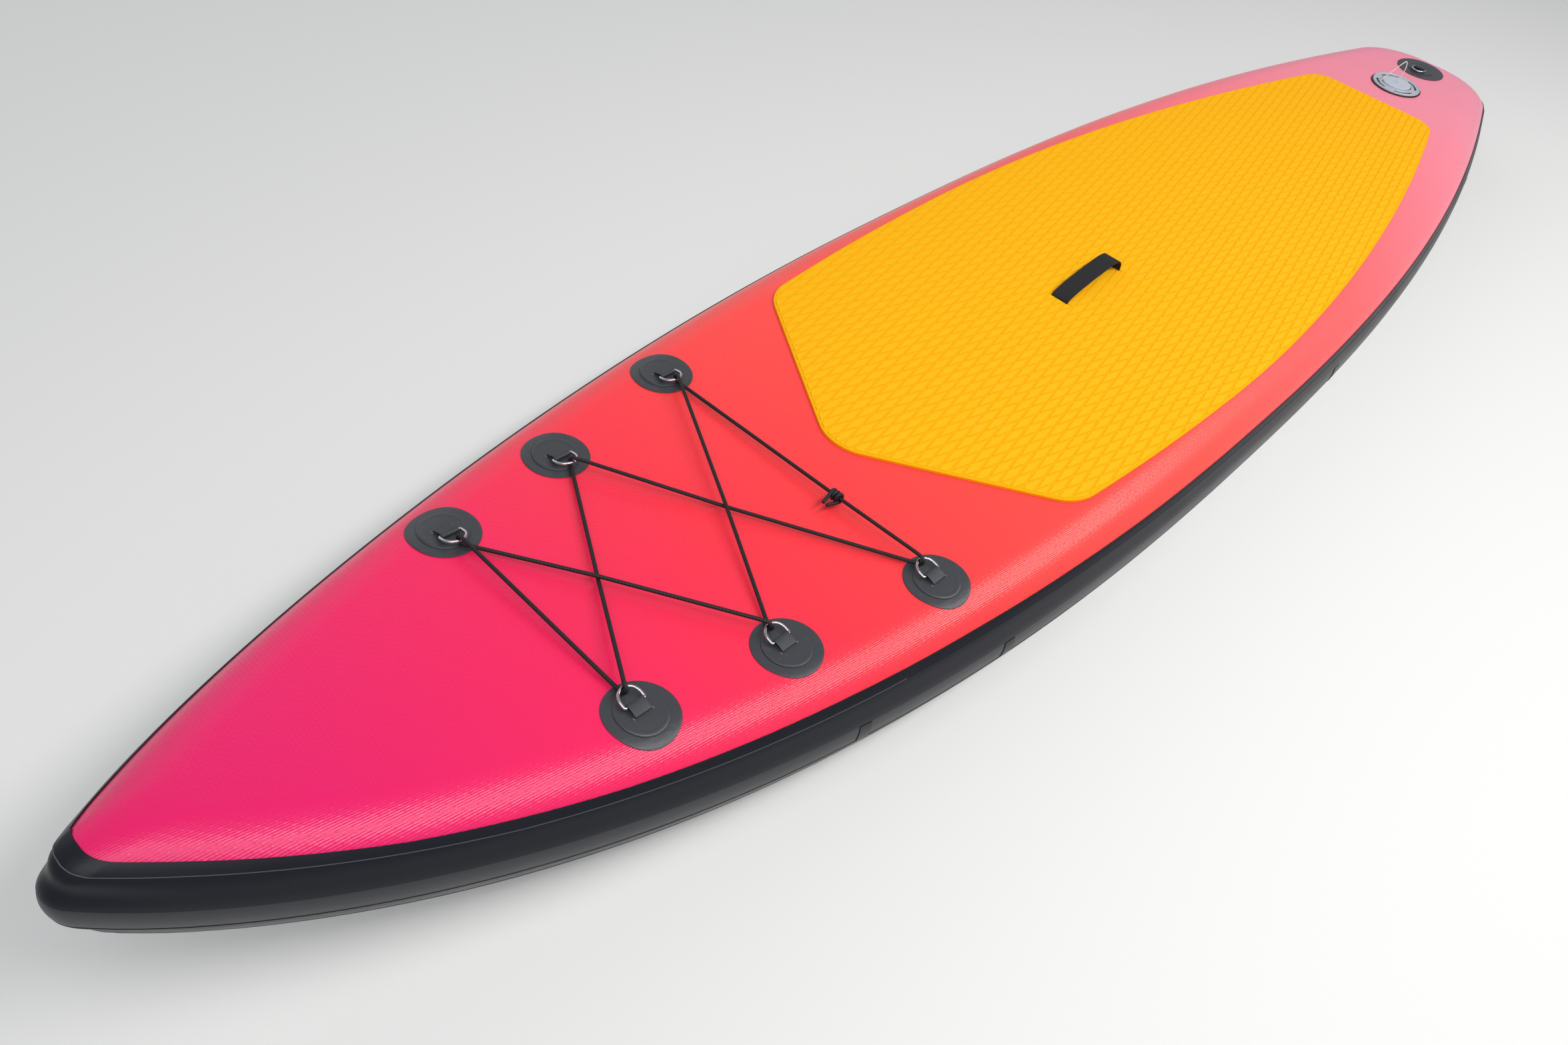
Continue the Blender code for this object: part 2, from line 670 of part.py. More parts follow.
def build_handle(finish):
    for name, x in (("handle_anchor_front", HANDLE_FRONT), ("handle_anchor_rear", HANDLE_REAR)):
        layer_patch(name, handle_anchor_outline(x), TOUCH, TOUCH + ANCHOR_THICKNESS, finish["web"])
    deck, _ = surface_at(board_x((HANDLE_FRONT + HANDLE_REAR) / 2), 0)
    strap = ribbon("handle_strap", handle_path(), HANDLE_THICKNESS, HANDLE_WIDTH)
    piece = place(strap, "handle_strap", finish["web"])
    piece.location = (board_x(0), 0, deck.z)


# D-ring stations

DISC_TOP = TOUCH + PATCH_THICKNESS + TOUCH + DISC_THICKNESS
BAR_HEIGHT = TOUCH + WEBBING_THICKNESS + TOUCH + WIRE_RADIUS
BIGHT_RADIUS = WIRE_RADIUS + BIGHT_CLEARANCE + CORD / 2
ARC_HEIGHT = TOUCH + CORD / 2 + BIGHT_RADIUS
RING_TILT = math.asin((ARC_HEIGHT - BAR_HEIGHT) / RING_DEPTH)


def ring_path():
    """Middle line of the wire: bar on the X axis, arc towards +Y."""
    half = RING_INNER_WIDTH / 2 + WIRE_RADIUS
    arc_start = RING_DEPTH - half
    path = []
    for side in (1, -1):
        corner = []
        for k in range(3):
            turn = math.pi / 4 * k
            corner.append((side * (half - RING_CORNER + RING_CORNER * math.sin(turn)),
                           RING_CORNER * (1 - math.cos(turn)), 0))
        path.append(corner)
    steps = 10
    arc = []
    for k in range(steps + 1):
        turn = math.pi * k / steps
        arc.append((half * math.cos(turn), arc_start + half * math.sin(turn), 0))
    return path[0] + arc + path[1][::-1]


def webbing_path():
    """Middle line of the webbing, (y, z): from the slit, round the bar and back over itself."""
    low = TOUCH + WEBBING_THICKNESS / 2
    bend = WIRE_RADIUS + TOUCH + WEBBING_THICKNESS / 2
    path = [(-WEBBING_TAIL, low), (-WEBBING_TAIL / 2, low)]
    for k in range(9):
        turn = math.pi * (k / 8 - 0.5)
        path.append((bend * math.cos(turn), BAR_HEIGHT + bend * math.sin(turn)))
    over = low + WEBBING_THICKNESS + TOUCH
    path.append((-WEBBING_TAIL / 2, (BAR_HEIGHT + bend + over) / 2))
    path.append((-WEBBING_TAIL, over))
    return path


def station_frame(name, x, y, inboard, finder):
    """Empty on the patch's middle: X along the bar, Y to the arc, Z off the deck."""
    point, normal = finder(x, y)
    across = Vector(inboard)
    along = across.cross(normal).normalized()
    across = normal.cross(along).normalized()
    empty = bpy.data.objects.new(name, None)
    bpy.context.scene.collection.objects.link(empty)
    frame = Matrix((along, across, normal)).transposed().to_4x4()
    frame.translation = point + normal * DISC_TOP
    empty.matrix_world = frame
    return empty, frame


def build_station(tag, x, y, patch_radius, disc_radius, inboard, tilt, finish):
    outline = circle(board_x(x), y, patch_radius)
    layer_patch("patch_" + tag, outline, TOUCH, TOUCH + PATCH_THICKNESS, finish["patch"])
    low = TOUCH + PATCH_THICKNESS + TOUCH
    outline = circle(board_x(x), y, disc_radius)
    layer_patch("disc_" + tag, outline, low, low + DISC_THICKNESS, finish["patch"])
    seat_y = y + inboard[1] * BAR_OFFSET
    seat_x = board_x(x) + inboard[0] * BAR_OFFSET
    empty, frame = station_frame("axis_" + tag, seat_x, seat_y, inboard, surface_at)
    width = RING_INNER_WIDTH - 2 * WEBBING_SIDE_CLEARANCE
    webbing = place(ribbon("webbing_" + tag, webbing_path(), WEBBING_THICKNESS, width),
                    "webbing_" + tag, finish["web"])
    webbing.parent = empty
    webbing.matrix_parent_inverse = Matrix.Identity(4)
    webbing.matrix_basis = Matrix.Rotation(math.pi / 2, 4, "Z")
    ring = place(swept_loop("ring_" + tag, ring_path(), WIRE_RADIUS, 8), "ring_" + tag, finish["steel"])
    ring.parent = empty
    ring.matrix_parent_inverse = Matrix.Identity(4)
    ring.matrix_basis = Matrix.Translation((0, 0, BAR_HEIGHT)) @ Matrix.Rotation(tilt, 4, "X")
    bpy.context.view_layer.update()
    return frame


def build_stations(finish):
    frames = {}
    for place_name, (x, y) in STATIONS.items():
        for side, sign in (("port", 1), ("starboard", -1)):
            tag = side + "_" + place_name
            frames[tag] = build_station(tag, x, sign * y, PATCH_RADIUS, DISC_RADIUS,
                                        (0, -sign, 0), RING_TILT, finish)
    build_station("tail", TAIL_PATCH_X, 0, TAIL_PATCH_RADIUS, DISC_RADIUS, (1, 0, 0), 0.0, finish)
    return frames


# Bungee

def bungee_route(frames):
    """The cord's middle line: knot, once round all six rings, and back to the knot."""
    order = ["port_rear", "starboard_middle", "port_front", "starboard_front", "port_middle",
             "starboard_rear"]
    wires = {}
    for tag in order:
        local = Vector((0, RING_DEPTH * math.cos(RING_TILT), ARC_HEIGHT))
        wires[tag] = frames[tag] @ local
    start = wires["starboard_rear"]
    end = wires["port_rear"]
    share = (KNOT_Y - start.y) / (end.y - start.y)
    up = Vector((0, 0, BIGHT_RADIUS))
    knot = (start - up).lerp(end + up, share)
    direction = (end + up - start + up).normalized()
    route = [knot + direction * TOUCH / 2]
    for k, tag in enumerate(order):
        frame = frames[tag].to_3x3()
        along, inboard, normal = (frame @ Vector(v) for v in ((1, 0, 0), (0, 1, 0), (0, 0, 1)))
        before = wires[order[k - 1]] - wires[tag] if k else knot - wires[tag]
        after = wires[order[(k + 1) % 6]] - wires[tag] if k < 5 else knot - wires[tag]
        before, after = before.normalized(), after.normalized()
        lean = along * (before.dot(along) - after.dot(along)) * CORD * BIGHT_LEAN
        route.append(wires[tag] + normal * BIGHT_RADIUS + before * BIGHT_APPROACH + lean)
        for step in range(6):
            turn = math.pi * step / 5
            rim = normal * math.cos(turn) - inboard * math.sin(turn)
            route.append(wires[tag] + rim * BIGHT_RADIUS + lean * math.cos(turn))
        route.append(wires[tag] - normal * BIGHT_RADIUS + after * BIGHT_APPROACH - lean)
    route.append(knot - direction * TOUCH / 2)
    return route, knot, direction


def lift_crossings(route):
    """Bow the cord over and under itself where two of its runs cross in plan."""
    runs = [(k, route[k], route[k + 1]) for k in range(len(route) - 1)
            if (route[k + 1] - route[k]).length > 0.1]
    extra = {}
    for i, (first, a, b) in enumerate(runs):
        for second, c, d in runs[i + 1:]:
            r, s, q = b - a, d - c, c - a
            cross = r.x * s.y - r.y * s.x
            if abs(cross) < 1e-9:
                continue
            t = (q.x * s.y - q.y * s.x) / cross
            u = (q.x * r.y - q.y * r.x) / cross
            if 0.05 < t < 0.95 and 0.05 < u < 0.95:
                middle = (a.lerp(b, t).z + c.lerp(d, u).z) / 2
                here = a.lerp(b, t)
                extra[first] = Vector((here.x, here.y, middle - CROSSING_STEP))
                extra[second] = Vector((here.x, here.y, middle + CROSSING_STEP))
    out = []
    for k, p in enumerate(route):
        out.append(p)
        if k in extra:
            out.append(extra[k])
    return out


def knot_route(knot, direction):
    """Turns of the knot round the cord, with both tails leaving towards the nose."""
    turn_radius = CORD + KNOT_GAP
    pitch = CORD + KNOT_GAP
    nose = Vector((1, 0, 0))
    nose = (nose - direction * nose.dot(direction)).normalized()
    up = direction.cross(nose)
    if up.z < 0:
        up = -up
    steps = int(10 * KNOT_TURNS)
    coil = []
    for k in range(steps + 1):
        turn = math.pi / 2 + 2 * math.pi * KNOT_TURNS * k / steps
        shift = pitch * KNOT_TURNS * (k / steps - 0.5)
        coil.append(knot + direction * shift + (nose * math.cos(turn) + up * math.sin(turn)) * turn_radius)
    first = coil[0] + nose * KNOT_TAIL
    last = coil[-1] + nose * KNOT_TAIL
    tails = [[first, coil[0] + nose * KNOT_TAIL * 0.5], [coil[-1] + nose * KNOT_TAIL * 0.5, last]]
    return tails[0] + coil + tails[1]


def least_self_gap(points, diameter):
    """Smallest clear distance between parts of one tube that are not next to each other."""
    fine = []
    for a, b in zip(points, points[1:]):
        pieces = max(1, int((b - a).length / 0.0008))
        fine += [a.lerp(b, k / pieces) for k in range(pieces)]
    fine.append(points[-1])
    spots = np.array([p[:] for p in fine])
    run = np.concatenate([[0], np.cumsum(np.linalg.norm(np.diff(spots, axis=0), axis=1))])
    apart = np.linalg.norm(spots[:, None] - spots[None], axis=2)
    apart[np.abs(run[:, None] - run[None]) < 2.5 * diameter] = 1.0
    return apart.min() - diameter


def build_bungee(frames, finish):
    route, knot, direction = bungee_route(frames)
    route = lift_crossings(route)
    tube("bungee_cord", route, CORD / 2, finish["cord"])
    wound = knot_route(knot, direction)
    tube("bungee_knot", wound, CORD / 2, finish["cord"], 1)
    length = sum((b - a).length for a, b in zip(route, route[1:]))
    print("bungee points", len(route), "length %.3f m" % length)
    print("bungee least gap to itself %.2f mm" % (1000 * least_self_gap(route[1:-1], CORD)))
    print("knot least gap to itself %.2f mm" % (1000 * least_self_gap(wound, CORD)))


# Valve

def build_valve(core, deck, finish):
    x = board_x(VALVE_X)
    point, normal = surface_at(x, 0)
    frame = normal.to_track_quat("Z", "Y").to_matrix().to_4x4()
    frame.translation = point
    hole = prism(circle(0, 0, BARREL_RADIUS + 2 * TOUCH), -0.01, 0.01)
    cut(deck, hole, matrix=frame)
    pocket = prism(circle(0, 0, NUT_RADIUS + POCKET_CLEARANCE), -BARREL_DEPTH - 0.008, 0.01)
    cut(core, pocket, matrix=frame)

    def add(mesh, name, finish_name):
        piece = place(mesh, name, finish[finish_name])
        piece.matrix_world = frame
        return piece

    lift = TOUCH
    gasket_top = lift + GASKET_THICKNESS
    inner = BARREL_RADIUS + TOUCH
    edge = GASKET_CHAMFER
    add(turned("valve_gasket", [(inner, lift), (GASKET_RADIUS, lift), (GASKET_RADIUS, gasket_top - edge),
                                (GASKET_RADIUS - edge, gasket_top), (inner, gasket_top)]),
        "valve_gasket", "seal")
    base = gasket_top + TOUCH
    top = FLANGE_HEIGHT
    seat = -SEAT_DEPTH
    lip = FLANGE_LIP
    body = [(BORE_RADIUS, top - lip), (BORE_RADIUS, seat + SEAT_THICKNESS),
            (SEAT_RADIUS, seat + SEAT_THICKNESS), (SEAT_RADIUS, seat),
            (BARREL_RADIUS, seat), (BARREL_RADIUS, base), (FLANGE_RADIUS, base),
            (FLANGE_RADIUS, top - lip), (FLANGE_RADIUS - lip / 2, top), (FLANGE_RADIUS - 2 * lip, top),
            (FLANGE_RADIUS - 2.5 * lip, top - lip), (BORE_RADIUS + 2.5 * lip, top - lip),
            (BORE_RADIUS + 2 * lip, top), (BORE_RADIUS + lip / 2, top)]
    housing = add(turned("valve_body", body), "valve_body", "valve")
    for k in range(FLANGE_SLOTS):
        slot = []
        mid = (BORE_RADIUS + FLANGE_RADIUS) / 2
        reach = (FLANGE_RADIUS - BORE_RADIUS) * 0.16
        for radius, sign in ((mid + reach, 1), (mid - reach, -1)):
            for step in range(7):
                turn = math.radians(360 / FLANGE_SLOTS * (k + 0.5) + sign * (step - 3) * 9)
                slot.append((radius * math.cos(turn), radius * math.sin(turn)))
        cut(housing, prism(slot, top - 2.0 * lip, top + 0.01), matrix=frame)
    spider_low = seat + SEAT_THICKNESS / 2
    hub = prism(circle(0, 0, HUB_RADIUS, 20), spider_low, spider_low + HUB_HEIGHT)
    for k in range(SPOKES):
        reach = (BORE_RADIUS + BARREL_RADIUS) / 2
        spoke = prism(rounded_box(reach / 2, 0, reach, SPOKE_WIDTH, SPOKE_WIDTH / 6, 1),
                      spider_low + TOUCH, spider_low + HUB_HEIGHT - 2 * TOUCH)
        spoke.transform(Matrix.Rotation(2 * math.pi * (k + 0.5) / SPOKES, 4, "Z"))
        cut(housing, spoke, "UNION", matrix=frame)
    cut(housing, hub, "UNION", matrix=frame)
    guide = prism(circle(0, 0, STEM_RADIUS + STEM_CLEARANCE, 20), -0.1, 0.0)
    cut(housing, guide, matrix=frame)

    under = -(SKIN + 2 * TOUCH)
    add(turned("valve_nut", [(inner, under), (NUT_RADIUS, under), (NUT_RADIUS, under - NUT_HEIGHT),
                             (inner, under - NUT_HEIGHT)]), "valve_nut", "valve")

    hub_top = spider_low + HUB_HEIGHT
    button_low = -BUTTON_DEPTH - BUTTON_THICKNESS
    disc_top = seat - TOUCH
    disc_low = disc_top - DIAPHRAGM_THICKNESS
    foot_top = disc_low - TOUCH
    foot_low = foot_top - PIN_FOOT_THICKNESS
    edge = BUTTON_THICKNESS / 3
    pin = [(0, -BUTTON_DEPTH), (BUTTON_RADIUS - edge, -BUTTON_DEPTH),
           (BUTTON_RADIUS, -BUTTON_DEPTH - edge), (BUTTON_RADIUS, button_low), (STEM_RADIUS, button_low),
           (STEM_RADIUS, foot_top), (PIN_FOOT_RADIUS, foot_top), (PIN_FOOT_RADIUS, foot_low), (0, foot_low)]
    add(turned("valve_pin", pin, 24), "valve_pin", "cap")
    hole_radius = STEM_RADIUS + TOUCH
    add(turned("valve_diaphragm", [(hole_radius, disc_top), (DIAPHRAGM_RADIUS, disc_top),
                                   (DIAPHRAGM_RADIUS, disc_low), (hole_radius, disc_low)]),
        "valve_diaphragm", "seal")
    low, high = hub_top + TOUCH + SPRING_WIRE, button_low - TOUCH - SPRING_WIRE
    coil = []
    count = SPRING_TURNS * 9
    for k in range(count + 1):
        turn = 2 * math.pi * SPRING_TURNS * k / count
        coil.append(frame @ Vector((SPRING_RADIUS * math.cos(turn), SPRING_RADIUS * math.sin(turn),
                                    low + (high - low) * k / count)))
    tube("valve_spring", coil, SPRING_WIRE, finish["steel"], 1)
    print("spring least gap to itself %.2f mm" % (1000 * least_self_gap(coil, 2 * SPRING_WIRE)))

    cap_top = top + CAP_RISE
    cap_low = cap_top - CAP_THICKNESS
    skirt = BORE_RADIUS - CAP_FIT
    wall = skirt - CAP_SKIRT_WALL
    groove = SEAL_WIRE
    cap = [(0, cap_top), (CAP_RADIUS - CAP_CHAMFER, cap_top), (CAP_RADIUS, cap_top - CAP_CHAMFER),
           (CAP_RADIUS, cap_low), (skirt - groove, cap_low), (skirt - groove, cap_low - 2 * groove),
           (skirt, cap_low - 2 * groove), (skirt, cap_low - CAP_SKIRT_DEPTH),
           (wall, cap_low - CAP_SKIRT_DEPTH), (wall, cap_low), (0, cap_low)]
    add(turned("valve_cap", cap), "valve_cap", "cap")
    inside, outside = skirt - groove + TOUCH, skirt + CAP_FIT / 6
    above, below = cap_low - TOUCH, cap_low - 2 * groove + TOUCH
    seal = [(inside, above), (outside, above), (outside, below), (inside, below)]
    add(turned("valve_cap_seal", seal), "valve_cap_seal", "seal")
    foot_x, foot_y = TETHER_FOOT
    tether = [(0.0, 0.0, cap_top + 2 * TOUCH), (0.001, 0.0, cap_top + 0.25 * TETHER_RISE),
              (0.002, 0.001, cap_top + 0.70 * TETHER_RISE), (-0.002, -0.003, cap_top + 0.97 * TETHER_RISE),
              (-0.008, -0.009, cap_top + 0.84 * TETHER_RISE), (-0.021, -0.021, cap_top + 0.35 * TETHER_RISE),
              (foot_x, foot_y, top + 2 * TOUCH)]
    route = [frame @ p for p in smooth_route(tether, 4)]
    tube("valve_tether", route, TETHER_RADIUS, finish["tether"], 1)


# Fin box

def build_fin_box(finish):
    x = board_x(FIN_BOX_X)
    point, normal = under_at(x, 0, False)
    lengthwise = Vector((1, 0, 0))
    along = (lengthwise - normal * lengthwise.dot(normal)).normalized()
    across = normal.cross(along)
    frame = Matrix((along, across, normal)).transposed().to_4x4()
    frame.translation = point
    margin = 2 * FIN_PATCH_MARGIN
    outline = rounded_box(x, 0, FIN_PLATE_LENGTH + margin, FIN_PLATE_WIDTH + margin, FIN_PATCH_CORNER)
    layer_patch("fin_box_patch", outline, TOUCH, TOUCH + PATCH_THICKNESS, finish["patch"], bottom=True)
    low = PATCH_THICKNESS + 3 * TOUCH
    plate = prism(rounded_box(0, 0, FIN_PLATE_LENGTH, FIN_PLATE_WIDTH, FIN_PLATE_CORNER), low,
                  low + FIN_PLATE_THICKNESS)
    box = place(plate, "fin_box", finish["fin"])
    block = prism(rounded_box(0, 0, FIN_BOX_LENGTH, FIN_BOX_WIDTH, 0.004, 3), low + FIN_PLATE_THICKNESS / 2,
                  low + FIN_BOX_HEIGHT)
    cut(box, block, "UNION")
    slot = prism(rounded_box(-FIN_SLOT_STOP, 0, FIN_BOX_LENGTH, FIN_SLOT_WIDTH, FIN_SLOT_WIDTH / 20, 1),
                 low + FIN_BOX_HEIGHT - FIN_SLOT_DEPTH, low + FIN_BOX_HEIGHT + 0.01)
    cut(box, slot)
    pin_x = -FIN_BOX_LENGTH / 2 + FIN_PIN_FROM_END
    pin_z = low + FIN_BOX_HEIGHT - FIN_SLOT_DEPTH / 2
    turn = Matrix.Translation((pin_x, 0, pin_z)) @ Matrix.Rotation(math.pi / 2, 4, "X")
    hole = prism(circle(0, 0, FIN_PIN_RADIUS + FIN_PIN_CLEARANCE, 16), -0.05, 0.05)
    cut(box, hole, matrix=turn)
    box.matrix_world = frame
    half = FIN_BOX_WIDTH / 2
    end, head = half + TOUCH, half + FIN_PIN_HEAD
    pin = turned("fin_box_pin", [(0, -end), (FIN_PIN_RADIUS, -end), (FIN_PIN_RADIUS, end),
                                 (2 * FIN_PIN_RADIUS, end), (2 * FIN_PIN_RADIUS, head), (0, head)], 16)
    pin = place(pin, "fin_box_pin", finish["steel"])
    pin.matrix_world = frame @ turn


clear_scene()
finishes = make_finishes()
core_piece, deck_piece, bottom_piece = build_hull(finishes)
surface_at = surface_finder(deck_piece)
under_at = surface_finder(bottom_piece)
build_pad(finishes)
build_handle(finishes)
ring_frames = build_stations(finishes)
build_bungee(ring_frames, finishes)
build_valve(core_piece, deck_piece, finishes)
build_fin_box(finishes)
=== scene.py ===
# %% [markdown]
# # An inflatable touring paddle board
#
# The board lies deck up on a pale floor, seen from above its nose. This lesson dresses the packed
# solids: it makes the thin skins, patches, rings and cords again with fine meshes, gives every one a
# finish built from nodes, and then sets up floor, light and camera. All sizes are in metres, with +X to
# the nose, +Y to port and +Z up, as in the solids.

# %% Load the solids
import functools
import math

import bmesh
import bpy
import numpy as np
from mathutils import Matrix, Vector
from mathutils.bvhtree import BVHTree


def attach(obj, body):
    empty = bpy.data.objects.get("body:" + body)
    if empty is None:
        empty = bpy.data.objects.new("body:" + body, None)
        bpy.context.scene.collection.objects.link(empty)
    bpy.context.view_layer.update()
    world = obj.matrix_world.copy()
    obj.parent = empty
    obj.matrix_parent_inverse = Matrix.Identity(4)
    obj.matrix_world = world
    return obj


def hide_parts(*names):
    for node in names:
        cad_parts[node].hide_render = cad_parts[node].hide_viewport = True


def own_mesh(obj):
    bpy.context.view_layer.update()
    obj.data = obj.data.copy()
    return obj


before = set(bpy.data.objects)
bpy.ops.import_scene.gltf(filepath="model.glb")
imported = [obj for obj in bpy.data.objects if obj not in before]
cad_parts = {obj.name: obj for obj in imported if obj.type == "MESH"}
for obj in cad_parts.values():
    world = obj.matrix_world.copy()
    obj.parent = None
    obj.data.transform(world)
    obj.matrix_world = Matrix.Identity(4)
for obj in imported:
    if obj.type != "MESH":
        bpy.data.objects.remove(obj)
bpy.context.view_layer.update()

LENGTH, WIDTH, THICKNESS = 3.353, 0.762, 0.156
TOUCH = 0.0003

# %% [markdown]
# ## Sums on sockets
#
# A finish is a tree of nodes. Written out node by node, a simple wave takes a page, so a small class
# holds one socket and lets Python's signs add the Math nodes. Every other node comes from one method
# that takes its type, its settings and what goes into its sockets.

# %% A socket that can be added and multiplied
def maths(operation):
    return lambda first, *others: first.sum_with(operation, first, *others)


class Signal:
    def __init__(self, finish, socket):
        self.finish, self.socket = finish, socket

    def sum_with(self, operation, first, *others):
        """A Math node whose sockets take signals or plain numbers."""
        node = self.finish.tree.nodes.new("ShaderNodeMath")
        node.operation = operation
        for place, value in enumerate((first, *others)):
            self.finish.plug(node.inputs[place], value)
        return Signal(self.finish, node.outputs[0])

    __add__ = __radd__ = maths("ADD")
    __mul__ = __rmul__ = maths("MULTIPLY")
    __sub__, sine, power, at_least = (maths(sign) for sign in ("SUBTRACT", "SINE", "POWER", "MAXIMUM"))


# %% A finish: one Principled shader and its nodes
class Finish:
    def __init__(self, name, colour, roughness, **constants):
        self.material = bpy.data.materials.new(name)
        self.material.use_nodes = True
        self.tree = self.material.node_tree
        self.shader = self.tree.nodes["Principled BSDF"]
        self.shader.inputs["Base Color"].default_value = (*colour, 1)
        self.shader.inputs["Roughness"].default_value = roughness
        for socket, value in constants.items():
            self.shader.inputs[socket.replace("_", " ")].default_value = value
        self.place = Signal(self, self.node("ShaderNodeTexCoord").socket.node.outputs["Object"])
        self.x, self.y, self.z = self.split(self.place)

    def plug(self, socket, value):
        if isinstance(value, Signal):
            self.tree.links.new(value.socket, socket)
        else:
            socket.default_value = value

    def split(self, vector):
        parts = self.node("ShaderNodeSeparateXYZ", inputs={0: vector}).socket.node
        return [Signal(self, out) for out in parts.outputs]

    def node(self, kind, settings=None, inputs=None):
        """A node's first output; the setting called stops fills a colour ramp."""
        made = self.tree.nodes.new(kind)
        for name, value in (settings or {}).items():
            if name == "stops":
                ramp = made.color_ramp
                while len(ramp.elements) < len(value):
                    ramp.elements.new(0.5)
                for stop, (position, colour) in zip(ramp.elements, value):
                    stop.position, stop.color = position, (*colour, 1)
            else:
                setattr(made, name, value)
        for name, value in (inputs or {}).items():
            self.plug(made.inputs[name], value)
        return Signal(self, made.outputs[0])

    def noise(self, scale, detail=2.0):
        return self.node("ShaderNodeTexNoise",
                         inputs={"Vector": self.place, "Scale": scale, "Detail": detail})

    def colour(self, value):
        self.plug(self.shader.inputs["Base Color"], value)

    def worn(self, scale, spread, least):
        """Roughness that wanders with a soft noise between least and least + spread."""
        self.plug(self.shader.inputs["Roughness"], self.noise(scale) * spread + least)

    def blend(self, share, first, second):
        """A mix of two colours by a signal's share."""
        node = self.tree.nodes.new("ShaderNodeMix")
        node.data_type = "RGBA"
        self.plug(node.inputs["Factor"], share)
        for socket, value in ((node.inputs[6], first), (node.inputs[7], second)):
            self.plug(socket, value if isinstance(value, Signal) else (*value, 1))
        return Signal(self, node.outputs[2])

    def relief(self, height, depth):
        """Bump whose height signal runs from 0 to 1 over a depth in metres."""
        bump = self.node("ShaderNodeBump", inputs={"Strength": 1.0, "Distance": depth, "Height": height})
        self.plug(self.shader.inputs["Normal"], bump)


def wave(signal, pitch):
    """A sine wave over a distance, 0 to 1, with one rise per pitch."""
    return (signal * (2 * math.pi / pitch)).sine() * 0.5 + 0.5


def twill(along, across, pitch, lean=0.55):
    """Fine ribs of a woven-backed sheet, 0 to 1, that lean from the first direction by a share."""
    rest = math.sqrt(1 - lean * lean)
    ribs = wave(along * lean + across * rest, pitch)
    weft = wave(along * rest - across * lean, 2 * pitch)
    return ribs * 0.75 + weft * 0.25


print("shader helpers ready")

# %% [markdown]
# ## Finishes
#
# The deck is vinyl coated on cloth, printed from magenta at the nose through coral to light pink at the
# tail. The colour is a ramp over x. The weave of the base cloth shows as lengthwise ribs about 2 mm apart
# where light grazes the roll of the edge, and the thousands of drop-stitch threads pull rows of small
# dimples, 10 mm apart. Both are far too fine for a mesh, so they are bump.

# %% Deck vinyl
def linear(red, green, blue):
    """Screen colour, 0 to 255, as the linear numbers that a shader takes."""
    values = []
    for part in (red, green, blue):
        part = part / 255
        values.append(part / 12.92 if part <= 0.04045 else ((part + 0.055) / 1.055) ** 2.4)
    return tuple(values)


DECK_STOPS = [(0.00, (242, 142, 170)), (0.10, (249, 140, 162)), (0.22, (254, 124, 140)),
              (0.38, (254, 98, 100)), (0.55, (254, 80, 70)), (0.68, (254, 66, 64)),
              (0.76, (252, 50, 68)), (0.85, (244, 30, 92)), (0.93, (232, 20, 102)), (1.00, (222, 16, 98))]
WEAVE_PITCH, WEAVE_LEAN = 0.0023, 0.14
DIMPLE_PITCH, DECK_RELIEF = 0.0100, 0.00026

deck_vinyl = Finish("deck_vinyl_print", linear(255, 80, 80), 0.29, Specular_IOR_Level=0.46)
along_board = deck_vinyl.x * (1 / LENGTH) + 0.5
deck_ramp = deck_vinyl.node("ShaderNodeValToRGB", {"stops": [(p, linear(*c)) for p, c in DECK_STOPS]},
                            {"Fac": along_board})
deck_vinyl.colour(deck_ramp)
dimple_turn = 2 * math.pi / DIMPLE_PITCH
dimples = ((deck_vinyl.x * dimple_turn).sine() * (deck_vinyl.y * dimple_turn).sine()).at_least(0).power(2)
deck_weave = twill(deck_vinyl.x, deck_vinyl.y, WEAVE_PITCH, WEAVE_LEAN)
deck_vinyl.relief(deck_weave * 0.50 + dimples * 0.50, DECK_RELIEF)
deck_vinyl.plug(deck_vinyl.shader.inputs["Roughness"],
                deck_weave * 0.06 + deck_vinyl.noise(4.0) * 0.08 + 0.22)
print("deck vinyl:", len(DECK_STOPS), "colour stops")

# %% [markdown]
# The side wall, its tapes and the round patches are the same kind of vinyl in black-navy and charcoal.
# They take the same ribs, a little finer. The wall and the tapes stand upright, so their ribs run over
# the height as well. Dust lightens the patches in small specks.

# %% Rail, tape and patch vinyl
WALL_WEAVE, PATCH_WEAVE = 0.0016, 0.0013
WALL_RELIEF, BOTTOM_RELIEF, PATCH_RELIEF = 0.00003, 0.00005, 0.00004
CHARCOAL, DUST, DUST_FROM = (0.043, 0.045, 0.053), (0.115, 0.12, 0.13), 0.62

rail_vinyl = Finish("rail_vinyl_navy", (0.0100, 0.0110, 0.0160), 0.40, Specular_IOR_Level=0.54)
rail_vinyl.worn(6.0, 0.14, 0.34)
tape_vinyl = Finish("tape_vinyl_navy", (0.0060, 0.0065, 0.0120), 0.36, Specular_IOR_Level=0.30)
tape_vinyl.worn(9.0, 0.16, 0.30)
for upright in (rail_vinyl, tape_vinyl):
    upright.relief(twill(upright.x + upright.y, upright.z, WALL_WEAVE), WALL_RELIEF)

bottom_vinyl = Finish("bottom_vinyl_white", (0.74, 0.74, 0.75), 0.40)
bottom_vinyl.relief(twill(bottom_vinyl.x, bottom_vinyl.y, WEAVE_PITCH), BOTTOM_RELIEF)
bottom_vinyl.worn(4.0, 0.10, 0.34)

